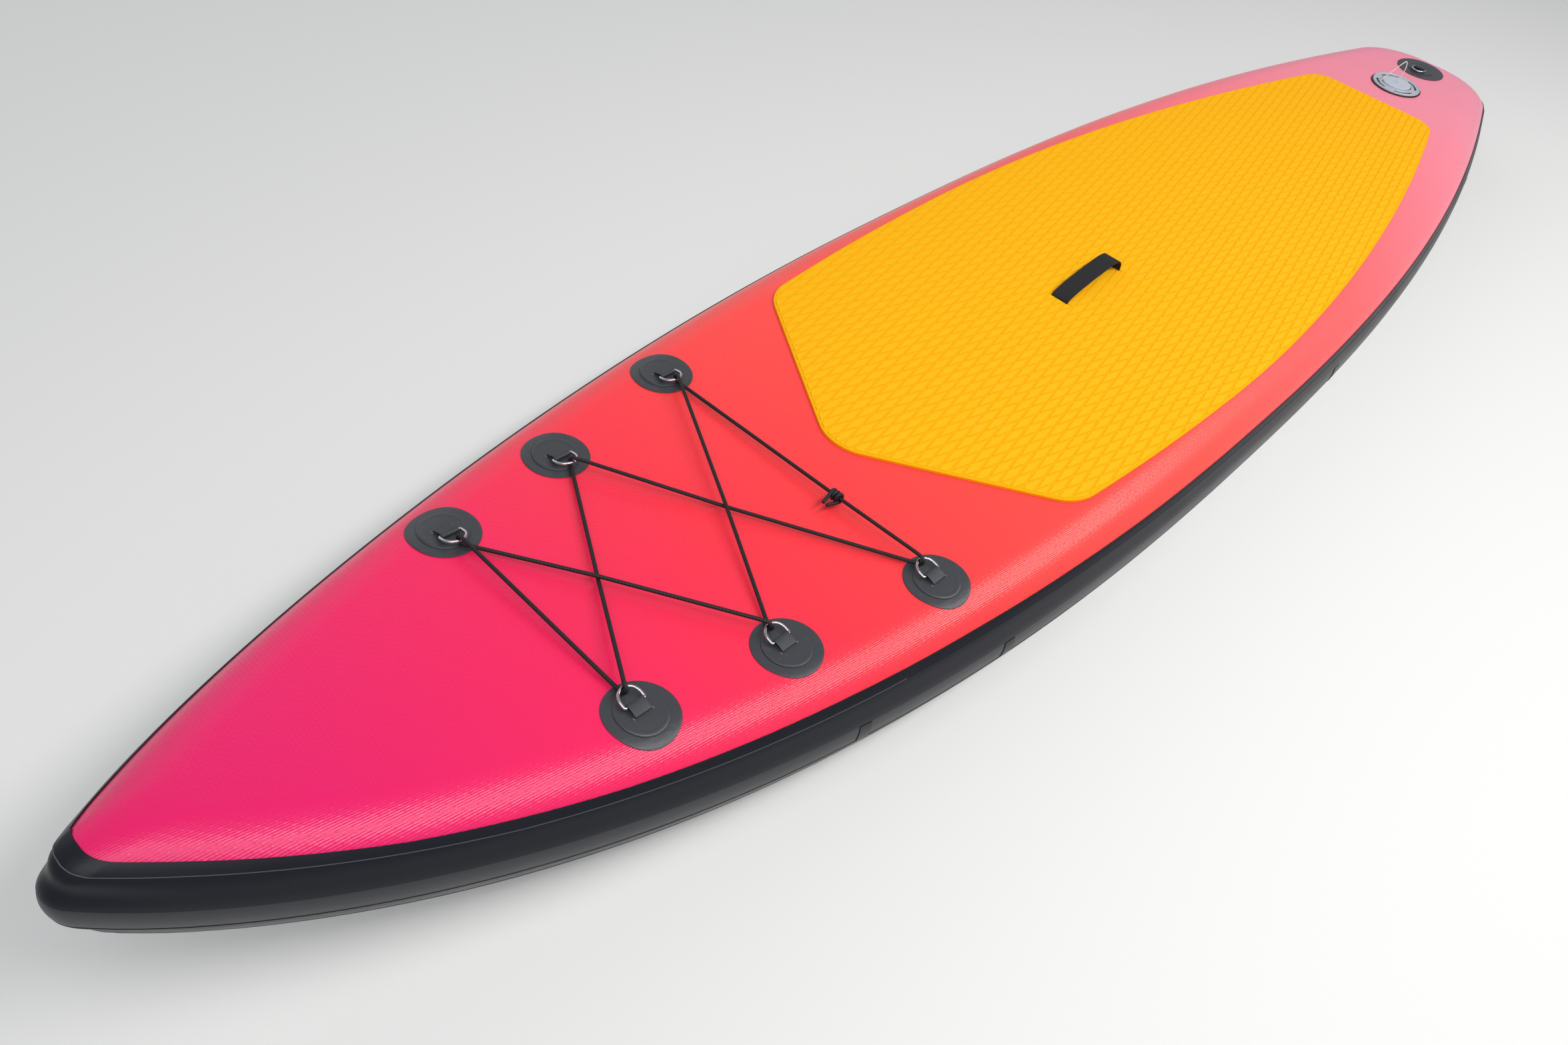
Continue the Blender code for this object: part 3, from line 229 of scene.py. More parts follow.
patch_vinyl = Finish("patch_vinyl_charcoal", CHARCOAL, 0.42)
patch_weave = twill(patch_vinyl.x, patch_vinyl.y, PATCH_WEAVE)
patch_vinyl.relief(patch_weave, PATCH_RELIEF)
dusty = (patch_vinyl.noise(160.0, 4.0) - DUST_FROM).at_least(0) * 1.6
patch_vinyl.colour(patch_vinyl.blend(dusty, CHARCOAL, DUST))
patch_vinyl.plug(patch_vinyl.shader.inputs["Roughness"], patch_weave * 0.10 + 0.34)
print("dark vinyls ready")

# %% [markdown]
# The pad is closed-cell foam pressed with raised diamonds. The grooves are painted a slightly darker, more
# saturated yellow than the tops, a painted shade in the grooves, so the mesh carries two finishes. Fine pores
# make both matt.

# %% Foam of the pad
# Painted shade: the groove finish is darker than the diamond tops to stand for shade in the grooves.
foam_groove_painted_shade = Finish("foam_groove_painted_shade", linear(244, 174, 2), 0.85, Specular_IOR_Level=0.15)
foam_groove_painted_shade.relief(foam_groove_painted_shade.noise(2600.0, 1.0), 0.00005)
foam_top = Finish("foam_diamond", linear(247, 184, 18), 0.80, Specular_IOR_Level=0.12)
foam_top.relief(foam_top.noise(2200.0, 2.0), 0.00006)
foam_top.colour(foam_top.blend(foam_top.noise(40.0, 3.0) * 0.5, linear(246, 182, 14), linear(248, 186, 26)))
print("foam ready")

# %% [markdown]
# Webbing is flat woven polyester, with ribs across the strap and finer yarns along it. The cord's sleeve
# is a fine braid: two sets of strands wind round it in opposite ways, so a height that is the larger of
# two slanting waves, laid over the distance along the cord and the turn round it, gives the plaited
# diamonds. Those two measures come from the mesh's own map. The plain plastics and the rubber differ only
# in colour, grain and how much their roughness wanders, so one function makes them.

# %% Webbing, cord sleeve and other finishes
WEB_RIB, WEB_YARN, WEB_RELIEF = 0.0016, 0.0011, 0.00018
BRAID_PITCH, BRAID_STRANDS, BRAID_RELIEF = 0.0044, 4, 0.00022
webbing = Finish("webbing_black", (0.020, 0.020, 0.023), 0.80, Specular_IOR_Level=0.3)
web_ribs, web_yarn = wave(webbing.x, WEB_RIB), wave(webbing.y, WEB_YARN)
webbing.relief(web_ribs * 0.6 + web_yarn * 0.4, WEB_RELIEF)
# The raised crossings of ribs and yarns are painted lighter and the hollows darker: painted shade in the
# weave.
webbing.colour(webbing.blend(web_ribs * web_yarn, (0.012, 0.012, 0.014), (0.030, 0.030, 0.034)))

cord_sleeve = Finish("cord_sleeve", (0.010, 0.010, 0.012), 0.50, Specular_IOR_Level=0.35)
cord_map = cord_sleeve.node("ShaderNodeUVMap", {"uv_map": "length_and_turn"})
cord_run, cord_turn, _ = cord_sleeve.split(cord_map)
wind_one, wind_two = (((cord_run * (1 / BRAID_PITCH) + cord_turn * strands) * (2 * math.pi)).sine()
                      for strands in (BRAID_STRANDS, -BRAID_STRANDS))
braid = wind_one.at_least(wind_two) * 0.5 + 0.5
cord_sleeve.relief(braid, BRAID_RELIEF)
# The strand crests are painted lighter and the hollows between strands darker: painted shade in the braid.
cord_sleeve.colour(cord_sleeve.blend(braid, (0.004, 0.004, 0.005), (0.016, 0.016, 0.019)))


def grained(name, colour, roughness, grain=None, wear=None, **constants):
    """A plain finish: grain is its bump's noise scale and depth, wear what the method worn takes."""
    made = Finish(name, colour, roughness, **constants)
    if grain:
        made.relief(made.noise(grain[0]), grain[1])
    if wear:
        made.worn(*wear)
    return made


station_web = grained("webbing_coated", (0.030, 0.033, 0.040), 0.52, (900.0, 0.00006), (120.0, 0.2, 0.40))
valve_grey = grained("valve_plastic_grey", linear(176, 180, 190), 0.38, (1500.0, 0.00002), (80.0, 0.15, 0.30))
cap_grey = grained("cap_plastic_grey", linear(190, 195, 208), 0.30, (1500.0, 0.00002), (60.0, 0.15, 0.24))
# Dark finish for the bore wall and the slots' floors: painted shade in these recesses.
slot_shade_teal = grained("valve_slot_painted_shade_teal", (0.010, 0.030, 0.036), 0.30, (900.0, 0.00002))
seal_rubber = grained("seal_rubber_black", (0.012, 0.013, 0.017), 0.55, (1800.0, 0.00003))
fin_black = grained("fin_box_black", (0.022, 0.022, 0.026), 0.48, (1400.0, 0.00004), (50.0, 0.15, 0.40))
tether_clear = grained("tether_clear", (0.90, 0.90, 0.88), 0.22, None, (200.0, 0.1, 0.16),
                       Transmission_Weight=0.35, IOR=1.45)
ring_steel = Finish("ring_steel_polished", (0.56, 0.56, 0.58), 0.16, Metallic=1.0)
ring_steel.plug(ring_steel.shader.inputs["Roughness"], ring_steel.noise(300.0, 3.0) * 0.12 + 0.10)
stitch_cloth = Finish("drop_stitch_cloth", (0.78, 0.78, 0.76), 0.85)
stitch_cloth.relief((stitch_cloth.x * 900.0).sine() * (stitch_cloth.y * 900.0).sine(), 0.0002)
print("finishes made:", len(bpy.data.materials))

# %% [markdown]
# ## Shape of the hull
#
# Two drop-stitch cloths are cut to one plan and joined by a side wall, so the hull is known from its
# plan, its side view and a round rail. The same rules as in the solids are repeated here, with many more
# points, and every layer is drawn from them: that keeps the skins nested without touching.

# %% Plan
WIDE_POINT, RAIL_DEPTH = 1.70, 0.080
TAIL_END_WIDTH, TAIL_FULLNESS, TAIL_CORNER = 0.300, 2.38, 0.120
NOSE_FULLNESS, NOSE_SHARPNESS, NOSE_TIP = 2.46, 0.80, 0.030
SIDE_POINTS, BEND_WEIGHT, FINE_STEPS, END_STEPS = 150, 0.55, 1500, 60


def cosine_steps(count):
    return (1 - np.cos(np.linspace(0, math.pi, count))) / 2


def smooth_share(share):
    """A share from 0 to 1 that leaves and arrives without a corner."""
    return share * share * (3 - 2 * share)


def bell(value, middle, width, power=2):
    return math.exp(-((value - middle) / width) ** power)


def with_flat_end(x, half):
    """A side curve that starts in the middle of its flat tail end."""
    across = np.linspace(0, half[0], END_STEPS)[:-1]
    return np.vstack([np.column_stack([np.full_like(across, x[0]), across]), np.column_stack([x, half])])


def drawn_outline(length):
    """One side of the plan before its corners are rounded."""
    x = length * cosine_steps(FINE_STEPS)
    behind = np.clip((WIDE_POINT - x) / WIDE_POINT, 0, 1)
    ahead = np.clip((x - WIDE_POINT) / (length - WIDE_POINT), 0, 1)
    tail = 1 - (1 - TAIL_END_WIDTH / WIDTH) * behind ** TAIL_FULLNESS
    nose = (1 - ahead ** NOSE_FULLNESS) ** NOSE_SHARPNESS
    return with_flat_end(x, WIDTH / 2 * np.where(x > WIDE_POINT, nose, tail))


def envelope(curve, grid, radius, sign):
    """The curve moved out (1) or in (-1) by radius, as heights over a grid."""
    step = grid[:, None] - curve[None, :, 0]
    reach = np.sqrt(np.clip(radius ** 2 - step ** 2, 0, None))
    height = np.where(np.abs(step) < radius, curve[None, :, 1] + sign * reach, -sign * np.inf)
    return height.max(axis=1) if sign > 0 else height.min(axis=1)


def rounded_inset(curve, depth, radius):
    """The curve moved in by depth, with its corners rounded to radius."""
    low, high = curve[:, 0].min(), curve[:, 0].max()
    grid = low + (high - low) * cosine_steps(FINE_STEPS)
    inner = envelope(curve, grid, depth + radius, -1)
    inside = (inner > 0) & (inner < np.inf) & (grid > low + depth + radius)
    first, last = np.flatnonzero(inside)[[0, -1]]
    end = grid[last] + inner[last] * (grid[last + 1] - grid[last]) / (inner[last] - inner[last + 1])
    kept = np.column_stack([grid[inside], inner[inside]])
    start = low + depth + radius
    across = np.linspace(0, inner[first], 20)
    core = np.vstack([np.column_stack([np.full(20, start), across]), kept, [[end, 0.0]]])
    span = (start - radius) + (end - start + 2 * radius) * cosine_steps(FINE_STEPS)
    outer = envelope(core, span[1:-1], radius, 1)
    flat = np.array([[span[0], 0.0], [span[0], inner[first]]])
    return np.vstack([flat, np.column_stack([span[1:-1], outer]), [[span[-1], 0.0]]])


def rounded_ends(curve, depth, tail_radius, nose_radius, split):
    """The curve moved in, with one radius behind the split and another ahead of it."""
    tail, nose = (rounded_inset(curve, depth, radius) for radius in (tail_radius, nose_radius))
    return np.vstack([tail[tail[:, 0] < split], nose[nose[:, 0] >= split]])


def spaced(curve, count):
    """Points along a curve, closer together where it bends."""
    step = np.diff(curve, axis=0)
    length = np.hypot(step[:, 0], step[:, 1])
    keep = length > 1e-7
    curve = np.vstack([curve[:1], curve[1:][keep]])
    step, length = step[keep], length[keep]
    heading = np.arctan2(step[:, 1], step[:, 0])
    turned = np.maximum.accumulate(heading[0] - heading)
    middle = np.cumsum(length) - length / 2
    run = np.concatenate([[0], np.cumsum(length)])
    measure = np.interp(run, middle, middle + BEND_WEIGHT * turned)
    marks = np.linspace(measure[0], measure[-1], count)
    return np.column_stack([np.interp(marks, measure, curve[:, k]) for k in (0, 1)])


def smoothed(curve, passes):
    """Evens out the small steps that the envelope's grid leaves, ends held."""
    curve = curve.copy()
    for _ in range(passes):
        curve[1:-1] = (curve[:-2] + 2 * curve[1:-1] + curve[2:]) / 4
    return curve


def both_sides(side):
    return np.vstack([side, (side * [1, -1])[-2:0:-1]])


plain = drawn_outline(LENGTH + NOSE_TIP / 2)
plain = plain * [LENGTH / rounded_inset(plain, 0.0, NOSE_TIP)[-1, 0], 1]


@functools.lru_cache(maxsize=None)
def side_curve(depth):
    return spaced(rounded_ends(plain, depth, TAIL_CORNER, NOSE_TIP, WIDE_POINT), SIDE_POINTS)


print("plan: half width %.3f m" % side_curve(0.0)[:, 1].max())

# %% [markdown]
# The rail is not a plain round. Inflated, the side wall bulges between its two seams, and the stiff
# double layer under each tape's edge holds it in, so the outline at the nose shows a slight waist at
# each tape, and above the upper one the very tip swells into a soft roll. A small inset that depends on
# the angle round the rail gives waist and roll to all layers.

# %% Side view and rail
NOSE_KICK, NOSE_KICK_START, NOSE_KICK_POWER = 0.137, 1.90, 3.4
TAIL_KICK_START, TAIL_KICK_POWER, TAIL_BOTTOM_LIFT, TAIL_DECK_LIFT = 0.95, 1.5, 0.022, 0.004
WAIST_DEPTH, WAIST_WIDTH, WAIST_ANGLE = 0.0012, 8.0, 24.0
TIP_WAIST, TIP_REACH = 0.0032, 0.10
TIP_ROLL, TIP_ROLL_ANGLE, TIP_ROLL_WIDTH = 0.0055, 50, 17


def tail_share(x):
    return np.clip((TAIL_KICK_START - x) / TAIL_KICK_START, 0, None) ** TAIL_KICK_POWER


def bottom_height(x):
    ahead = np.clip((x - NOSE_KICK_START) / (LENGTH - NOSE_KICK_START), 0, None)
    return TAIL_BOTTOM_LIFT * tail_share(x) + NOSE_KICK * ahead ** NOSE_KICK_POWER


def hull_thickness(x):
    return THICKNESS - (TAIL_BOTTOM_LIFT - TAIL_DECK_LIFT) * tail_share(x)


def inset_loop(loop, depth):
    """A closed plan loop whose sides all move in by depth, so that nested loops stay parallel."""
    step = np.roll(loop, -1, axis=0) - loop
    step /= np.linalg.norm(step, axis=1)[:, None]
    normal = np.column_stack([step[:, 1], -step[:, 0]])
    corner = normal + np.roll(normal, 1, axis=0)
    return loop + corner * (2 * depth / (corner ** 2).sum(axis=1))[:, None]


def waist(degrees, x):
    """How far the seams draw the rail in at an angle, more at the nose tip, whose top edge swells."""
    near_tip = smooth_share(np.clip(1 - (LENGTH - x) / TIP_REACH, 0, 1))
    drawn_in = (WAIST_DEPTH + TIP_WAIST * near_tip) * bell(abs(degrees), WAIST_ANGLE, WAIST_WIDTH)
    return drawn_in - TIP_ROLL * near_tip * bell(degrees, TIP_ROLL_ANGLE, TIP_ROLL_WIDTH)


def hull_ring(sunk, degrees):
    """Closed loop round the hull at an angle up or down the rail, sunk below the surface."""
    angle = math.radians(degrees)
    side = side_curve(round(RAIL_DEPTH * (1 - math.cos(angle)), 6))
    loop = both_sides(side)
    loop = inset_loop(loop, (sunk + waist(degrees, loop[:, 0])) * math.cos(angle))
    x = loop[:, 0]
    half = hull_thickness(x) / 2
    z = bottom_height(x) + half + (half - sunk) * math.sin(angle)
    return np.column_stack([x - LENGTH / 2, loop[:, 1], z])


print("waist at the seams: %.1f mm, %.1f mm more at the tip" % (1000 * WAIST_DEPTH, 1000 * TIP_WAIST))

# %% [markdown]
# ## From loops to pieces
#
# A skin is a stack of loops: down its outside, round its edge and back up its inside, so every piece is
# a closed sheet of real thickness. Between two flats a lid closes it; the side wall and the tapes close
# on themselves like a tyre.

# %% Mesh helpers
def added(name, data):
    """A new object in the scene that shows some data."""
    made = bpy.data.objects.new(name, data)
    bpy.context.scene.collection.objects.link(made)
    return made


def axes_at(x_axis, y_axis, z_axis, origin):
    axes = Matrix((x_axis, y_axis, z_axis)).transposed().to_4x4()
    axes.translation = origin
    return axes


def circle(count):
    """The angles of points evenly round a circle."""
    return [2 * math.pi * k / count for k in range(count)]


def piece(name, points, faces, finish, slot, nodes=(), body="root", sharp=40.0):
    """One smooth-shaded closed mesh that rides on a body, in place of some of the solids."""
    mesh = bpy.data.meshes.new(name)
    mesh.from_pydata([tuple(map(float, p)) for p in points], [], faces)
    work = bmesh.new()
    work.from_mesh(mesh)
    bmesh.ops.recalc_face_normals(work, faces=work.faces)
    work.to_mesh(mesh)
    work.free()
    for each in finish if isinstance(finish, list) else [finish]:
        mesh.materials.append(each.material)
    mesh.shade_smooth()
    mesh.set_sharp_from_angle(angle=math.radians(sharp))
    made = added(name, mesh)
    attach(made, body)
    if nodes:
        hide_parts(*nodes)
    return made


def loops_to_faces(count, levels, closed):
    """Four-sided faces between loops of equal count."""
    faces = []
    for level in range(levels if closed else levels - 1):
        here, there = level * count, (level + 1) % levels * count
        faces += [(here + k, here + (k + 1) % count, there + (k + 1) % count, there + k)
                  for k in range(count)]
    return faces


def capped_stack(loops, closed=False):
    """Points and faces of loops joined one to the next; an open stack gets a face on each end."""
    count, points = len(loops[0]), [p for loop in loops for p in loop]
    faces = loops_to_faces(count, len(loops), closed)
    if not closed:
        faces += [tuple(range(count)), tuple(range(len(points) - count, len(points)))]
    return points, faces


def lid_faces(count, base):
    """Strips across the board between points that mirror each other."""
    faces = []
    for k in range(count // 2):
        corners = [base + k, base + k + 1, base + (count - k - 1) % count, base + (count - k) % count]
        faces.append(tuple(dict.fromkeys(corners)))
    return faces


def skin_piece(name, loops, finish, lids, slot, nodes):
    """A closed sheet from loops round the board, with flat lids or closed on itself."""
    count = len(loops[0])
    faces = loops_to_faces(count, len(loops), not lids)
    if lids:
        faces += lid_faces(count, 0) + lid_faces(count, (len(loops) - 1) * count)
    print(name, len(faces), "faces")
    return piece(name, np.vstack(loops), faces, finish, slot, nodes)


# %% [markdown]
# ## Deck, side wall and bottom
#
# The deck skin runs from the flat over the shoulder to the seam on the rail. The side wall fills the
# space between the seams and the bottom skin mirrors the deck.

# %% Hull skins
SKIN, SEAM_ANGLE, SEAM_GAP = 0.0012, 22.0, 0.12


def angles_between(first, last, count):
    return list(np.linspace(first, last, count))


def sheet_loops(high, low, angles):
    return [hull_ring(-high, a) for a in angles] + [hull_ring(-low, a) for a in angles[::-2]]


deck_angles = angles_between(90, 62, 6) + angles_between(60, SEAM_ANGLE, 20)
deck = skin_piece("deck_sheet", sheet_loops(0, -SKIN, deck_angles), deck_vinyl,
                  True, "deck_vinyl", ["deck_skin"])
wall_angles = angles_between(SEAM_ANGLE - SEAM_GAP, SEAM_GAP - SEAM_ANGLE, 21)
skin_piece("rail_wall", sheet_loops(0, -SKIN, wall_angles), rail_vinyl, False, "rail_vinyl", ["side_wall"])
skin_piece("bottom_sheet", sheet_loops(0, -SKIN, [-a for a in deck_angles]), bottom_vinyl,
           True, "bottom_vinyl", ["bottom_skin"])

# %% [markdown]
# Inside the skins is the drop-stitch chamber. It follows the same rules with the same waist, one cloth
# thickness further in, and has a round pocket for the valve.

# %% Drop-stitch chamber
CORE_DEPTH, POCKET_RADIUS, POCKET_DEPTH, VALVE_X = SKIN + TOUCH, 0.0460, 0.0440, 0.284


def carved(made, cutter):
    """The piece with a cutter's space taken out of it."""
    tool_mesh = bpy.data.meshes.new("cutter")
    cutter.to_mesh(tool_mesh)
    cutter.free()
    tool = added("cutter", tool_mesh)
    change = made.modifiers.new("pocket", "BOOLEAN")
    change.operation, change.object, change.solver = "DIFFERENCE", tool, "EXACT"
    bpy.context.view_layer.update()
    ready = made.evaluated_get(bpy.context.evaluated_depsgraph_get())
    mesh = bpy.data.meshes.new_from_object(ready)
    made.modifiers.clear()
    made.data = mesh
    bpy.data.objects.remove(tool)


chamber_angles = deck_angles[::2] + angles_between(18, 0, 6)
chamber_angles += [-a for a in chamber_angles[-2::-1]]
chamber = skin_piece("chamber_cloth", [hull_ring(CORE_DEPTH, a) for a in chamber_angles],
                     stitch_cloth, True, "drop_stitch", ["drop_stitch_core"])
pocket = bmesh.new()
bmesh.ops.create_cone(pocket, cap_ends=True, segments=64, radius1=POCKET_RADIUS, radius2=POCKET_RADIUS,
                      depth=2 * POCKET_DEPTH)
bmesh.ops.translate(pocket, verts=pocket.verts, vec=(VALVE_X - LENGTH / 2, 0, THICKNESS))
carved(chamber, pocket)
print("chamber:", len(chamber.data.polygons), "faces")

# %% [markdown]
# A tape covers each seam. Its upper strip is doubled, and the cut edge of that second layer is a thin raised
# line along the rail; near the nose that line is painted lighter, a painted highlight. Below the line the
# tape thins out. At the
# nose the straight tape has to turn a tight corner, which leaves small upright creases, so its surface
# ripples there by a fraction of a millimetre. Its upper edge climbs towards the nose, less on the far
# side than on the near one.

# %% Seam tapes
TAPE, TAPE_DOUBLE, TAPE_FEATHER, TAPE_BEAD = 0.0008, 0.0006, 0.0002, 0.0009
TAPE_LOW, TAPE_HIGH, RING_STEP = 11.0, 53, 2.0
TAPE_TOP = [(0.0, 33.0), (1.5, 33.0), (1.8, 35.2), (2.02, 37.9), (2.2, 41.1), (2.4, 43.6), (2.62, 44.2),
            (2.9, 42.6), (3.1, 43.6), (3.25, 48.0), (3.353, 51.0)]
TAPE_LINE = [(0.0, 25.0), (1.5, 25.0), (2.0, 29.5), (2.4, 35.5), (3.0, 34.5), (3.25, 38.5), (3.353, 40.0)]
FAR_SIDE_SHARE, FAR_SIDE_BLEND, PAINTED_HIGHLIGHT_FROM = 0.30, 0.06, 0.85
CREASE_REACH, CREASE_PITCH, CREASE_HEIGHT = 0.16, 0.017, 0.00045
BEAD_OUTER, BEAD_INNER, BEAD_END, CREASE_FADE = 0.55, 0.30, -0.40, 0.03
TOP_STEPS, THIN_STEPS, UNDER_STEPS = 6, 13, 17
# A lighter grey vinyl on the bead near the nose: a painted highlight along the tape's cut edge.
edge_vinyl_painted_highlight = Finish("tape_edge_painted_highlight", (0.060, 0.064, 0.074), 0.42)
edge_vinyl_painted_highlight.relief(edge_vinyl_painted_highlight.noise(700.0), 0.00005)


def creased(loop, strength):
    """The loop with small upright ripples near the nose tip."""
    step = np.linalg.norm(np.diff(loop, axis=0, append=loop[:1]), axis=1)
    run = np.concatenate([[0], np.cumsum(step)[:-1]])
    from_tip = run - run[np.argmax(loop[:, 0])]
    near = np.clip(1 - np.abs(from_tip) / CREASE_REACH, 0, 1) ** 1.5
    wave = np.sin(2 * math.pi * from_tip / CREASE_PITCH) * np.sin(2.3 * from_tip / CREASE_PITCH + 1)
    moved = loop.copy()
    moved[:, :2] = inset_loop(loop[:, :2], near * (0.5 + 0.5 * wave) * CREASE_HEIGHT * strength)
    return moved


def tape_angle(loop, curve):
    """The curve's angle for each point of a loop; the far side climbs less."""
    spots, values = zip(*curve)
    angle = np.interp(loop[:, 0] + LENGTH / 2, spots, values)
    far = smooth_share(np.clip(0.5 - (loop[:, 1] + FAR_SIDE_BLEND / 2) / FAR_SIDE_BLEND, 0, 1))
    return angle - (angle - values[0]) * (1 - FAR_SIDE_SHARE) * far


def slanted_loop(sign, wanted, lifts):
    """Loop at an angle that differs from point to point, lifted off the hull."""
    count = int((TAPE_HIGH - TAPE_LOW) / RING_STEP) + 1
    angles = [TAPE_LOW + RING_STEP * k for k in range(count)]
    at = (wanted - TAPE_LOW) / RING_STEP
    low = np.clip(at.astype(int), 0, count - 2)
    part, each = (at - low)[:, None], np.arange(len(wanted))
    flat = np.array([hull_ring(0.0, sign * a) for a in angles])
    high = np.array([hull_ring(-TAPE, sign * a) for a in angles])
    base = flat[low, each] * (1 - part) + flat[low + 1, each] * part
    lifted = high[low, each] * (1 - part) + high[low + 1, each] * part
    return base + (lifted - base) * (lifts / TAPE)


def tape_piece(name, sign, node):
    """A closed band: over the doubled strip, the bead and the thin strip, then back underneath."""
    guide = hull_ring(0.0, 30.0)
    top, line = tape_angle(guide, TAPE_TOP), tape_angle(guide, TAPE_LINE)
    double = TOUCH + TAPE + TAPE_DOUBLE
    bead = [(BEAD_OUTER, double), (BEAD_INNER, double + TAPE_BEAD / 2), (0.0, double + TAPE_BEAD / 2),
            (-BEAD_INNER, double), (BEAD_END, TOUCH + TAPE)]
    loops = [slanted_loop(sign, line + (top - line) * share, double)
             for share in np.linspace(1, 0.08, TOP_STEPS)]
    first_bead = len(loops)
    loops += [slanted_loop(sign, line + shift, lift) for shift, lift in bead]
    last_bead = len(loops) - 1
    loops += [slanted_loop(sign, TAPE_LOW + (line + BEAD_END - TAPE_LOW) * share,
                           TOUCH + TAPE_FEATHER + (TAPE - TAPE_FEATHER) * share)
              for share in np.linspace(0.92, 0, THIN_STEPS)]
    loops = [creased(loop, 1.0 - CREASE_FADE * k) for k, loop in enumerate(loops)]
    loops += [slanted_loop(sign, TAPE_LOW + (top - TAPE_LOW) * share, TOUCH / 2)
              for share in np.linspace(0, 1, UNDER_STEPS)]
    count = len(guide)
    made = piece(name, np.vstack(loops), loops_to_faces(count, len(loops), True), [tape_vinyl, edge_vinyl_painted_highlight],
                 "seam_tape", [node])
    for face in made.data.polygons:
        on_bead = first_bead <= face.index // count < last_bead
        # Bead faces near the nose take the lighter finish, a painted highlight.
        face.material_index = int(on_bead and face.center.x > PAINTED_HIGHLIGHT_FROM)
    print(name, len(made.data.polygons), "faces")


tape_piece("seam_tape_top", 1, "seam_tape_upper")
tape_piece("seam_tape_bottom", -1, "seam_tape_lower")

# %% [markdown]
# The wall cloth is not one length. Where two lengths meet, a narrow strap of the same vinyl is glued
# over the joint, seen on the near side as upright lines.

# %% Straps over the joints of the wall
STRAP_PLACES, STRAP_WIDTH, STRAP_THICKNESS = (0.42, 1.36, 2.33, 2.58), 0.018, 0.0007
STRAP_ROWS, STRAP_COLUMNS, STRAP_ROOM = 9, 5, 0.6


def wall_strap(name, from_tail, side):
    """A thin strap up the wall, between the tapes, at a distance from the tail."""
    angles = np.linspace(TAPE_LOW - STRAP_ROOM, STRAP_ROOM - TAPE_LOW, STRAP_ROWS)
    across = np.linspace(from_tail, from_tail + STRAP_WIDTH, STRAP_COLUMNS) - LENGTH / 2
    rows = []
    for lift in (TOUCH + STRAP_THICKNESS, TOUCH / 2):
        for angle in angles:
            loop = hull_ring(-lift, angle)
            half = loop[:SIDE_POINTS] if side > 0 else loop[[0, *range(len(loop) - 1, SIDE_POINTS - 2, -1)]]
            rows.append([[x, np.interp(x, half[:, 0], half[:, 1]), np.interp(x, half[:, 0], half[:, 2])]
                         for x in across])
    rows = rows[:STRAP_ROWS] + rows[:STRAP_ROWS - 1:-1]
    width, count = STRAP_COLUMNS, 2 * STRAP_ROWS
    faces = [(r * width + c, r * width + c + 1, (r + 1) % count * width + c + 1, (r + 1) % count * width + c)
             for r in range(count) for c in range(width - 1)]
    for edge in (0, width - 1):
        faces += [tuple(row * width + edge for row in (r, r + 1, count - 2 - r, count - 1 - r))
                  for r in range(STRAP_ROWS - 1)]
    piece(name, [p for row in rows for p in row], faces, tape_vinyl, "seam_tape")


for number, place in enumerate(STRAP_PLACES):
    wall_strap("strap_port_%d" % number, place, 1)
    wall_strap("strap_starboard_%d" % number, place, -1)
print("wall straps:", 2 * len(STRAP_PLACES))

# %% [markdown]
# ## Standing things on the deck
#
# Patches, pad, rings and valve all lie on the curved deck. A ray dropped on the deck's mesh gives the
# point below and the way the surface faces, which is all that is needed to drape or stand a piece.

# %% Finding the deck
deck_tree = BVHTree.FromPolygons([v.co[:] for v in deck.data.vertices],
                                 [p.vertices[:] for p in deck.data.polygons])


def deck_at(x, y):
    """The point of the deck below a place and the way the deck faces there."""
    return deck_tree.ray_cast(Vector((x, y, 1.0)), Vector((0, 0, -1.0)))[:2]


def board_x(from_tail):
    return from_tail - LENGTH / 2


def draped(x, y, lift):
    point, normal = deck_at(x, y)
    return point + normal * lift


print("deck height at the middle: %.4f m" % deck_at(0, 0)[0].z)

# %% [markdown]
# ## Pad
#
# The foam sheet is 5 mm thick and its diamonds are pressed in: two sets of grooves cross at a shallow
# angle, about 16 mm apart, and leave diamonds 69 mm long. The base sheet is drawn as loops from the edge
# inwards. Each diamond is its own small block with sloping sides, cut off where the pad ends and parted
# where a slit for the handle crosses it.

# %% Pad outline
PAD_THICKNESS, PAD_TAIL, PAD_WIDTH, PAD_WIDE_POINT = 0.005, 0.413, 0.636, 1.62
PAD_TAIL_TAPER, PAD_TAIL_POWER, PAD_FRONT_TAPER = 0.96, 1.85, 0.32
PAD_TIP, PAD_ARROW_SLOPE, PAD_FRONT_RADIUS, PAD_TAIL_RADIUS = 2.304, 1.50, 0.070, 0.055
PAD_SIDE_POINTS = 110


def pad_side():
    """One side of the pad: a long taper to the tail and an arrow-shaped front, with rounded corners."""
    front = PAD_TIP + PAD_FRONT_RADIUS * (math.hypot(1, 1 / PAD_ARROW_SLOPE) - 1)
    x = PAD_TAIL + (front - PAD_TAIL) * np.linspace(0, 1, FINE_STEPS)
    behind = np.clip((PAD_WIDE_POINT - x) / PAD_WIDE_POINT, 0, 1)
    ahead = np.clip(x - PAD_WIDE_POINT, 0, None)
    half = PAD_WIDTH / 2 * (1 - PAD_TAIL_TAPER * behind ** PAD_TAIL_POWER)
    half = np.minimum(half * (1 - PAD_FRONT_TAPER * ahead ** 2), (front - x) * PAD_ARROW_SLOPE)
    drawn = with_flat_end(x, np.clip(half, 0, None))
    joined = rounded_ends(drawn, 0.0, PAD_TAIL_RADIUS, PAD_FRONT_RADIUS, PAD_WIDE_POINT)
    return smoothed(spaced(joined, PAD_SIDE_POINTS), 2)


pad_loop = both_sides(pad_side()) - [LENGTH / 2, 0]
print("pad loop:", len(pad_loop), "points")

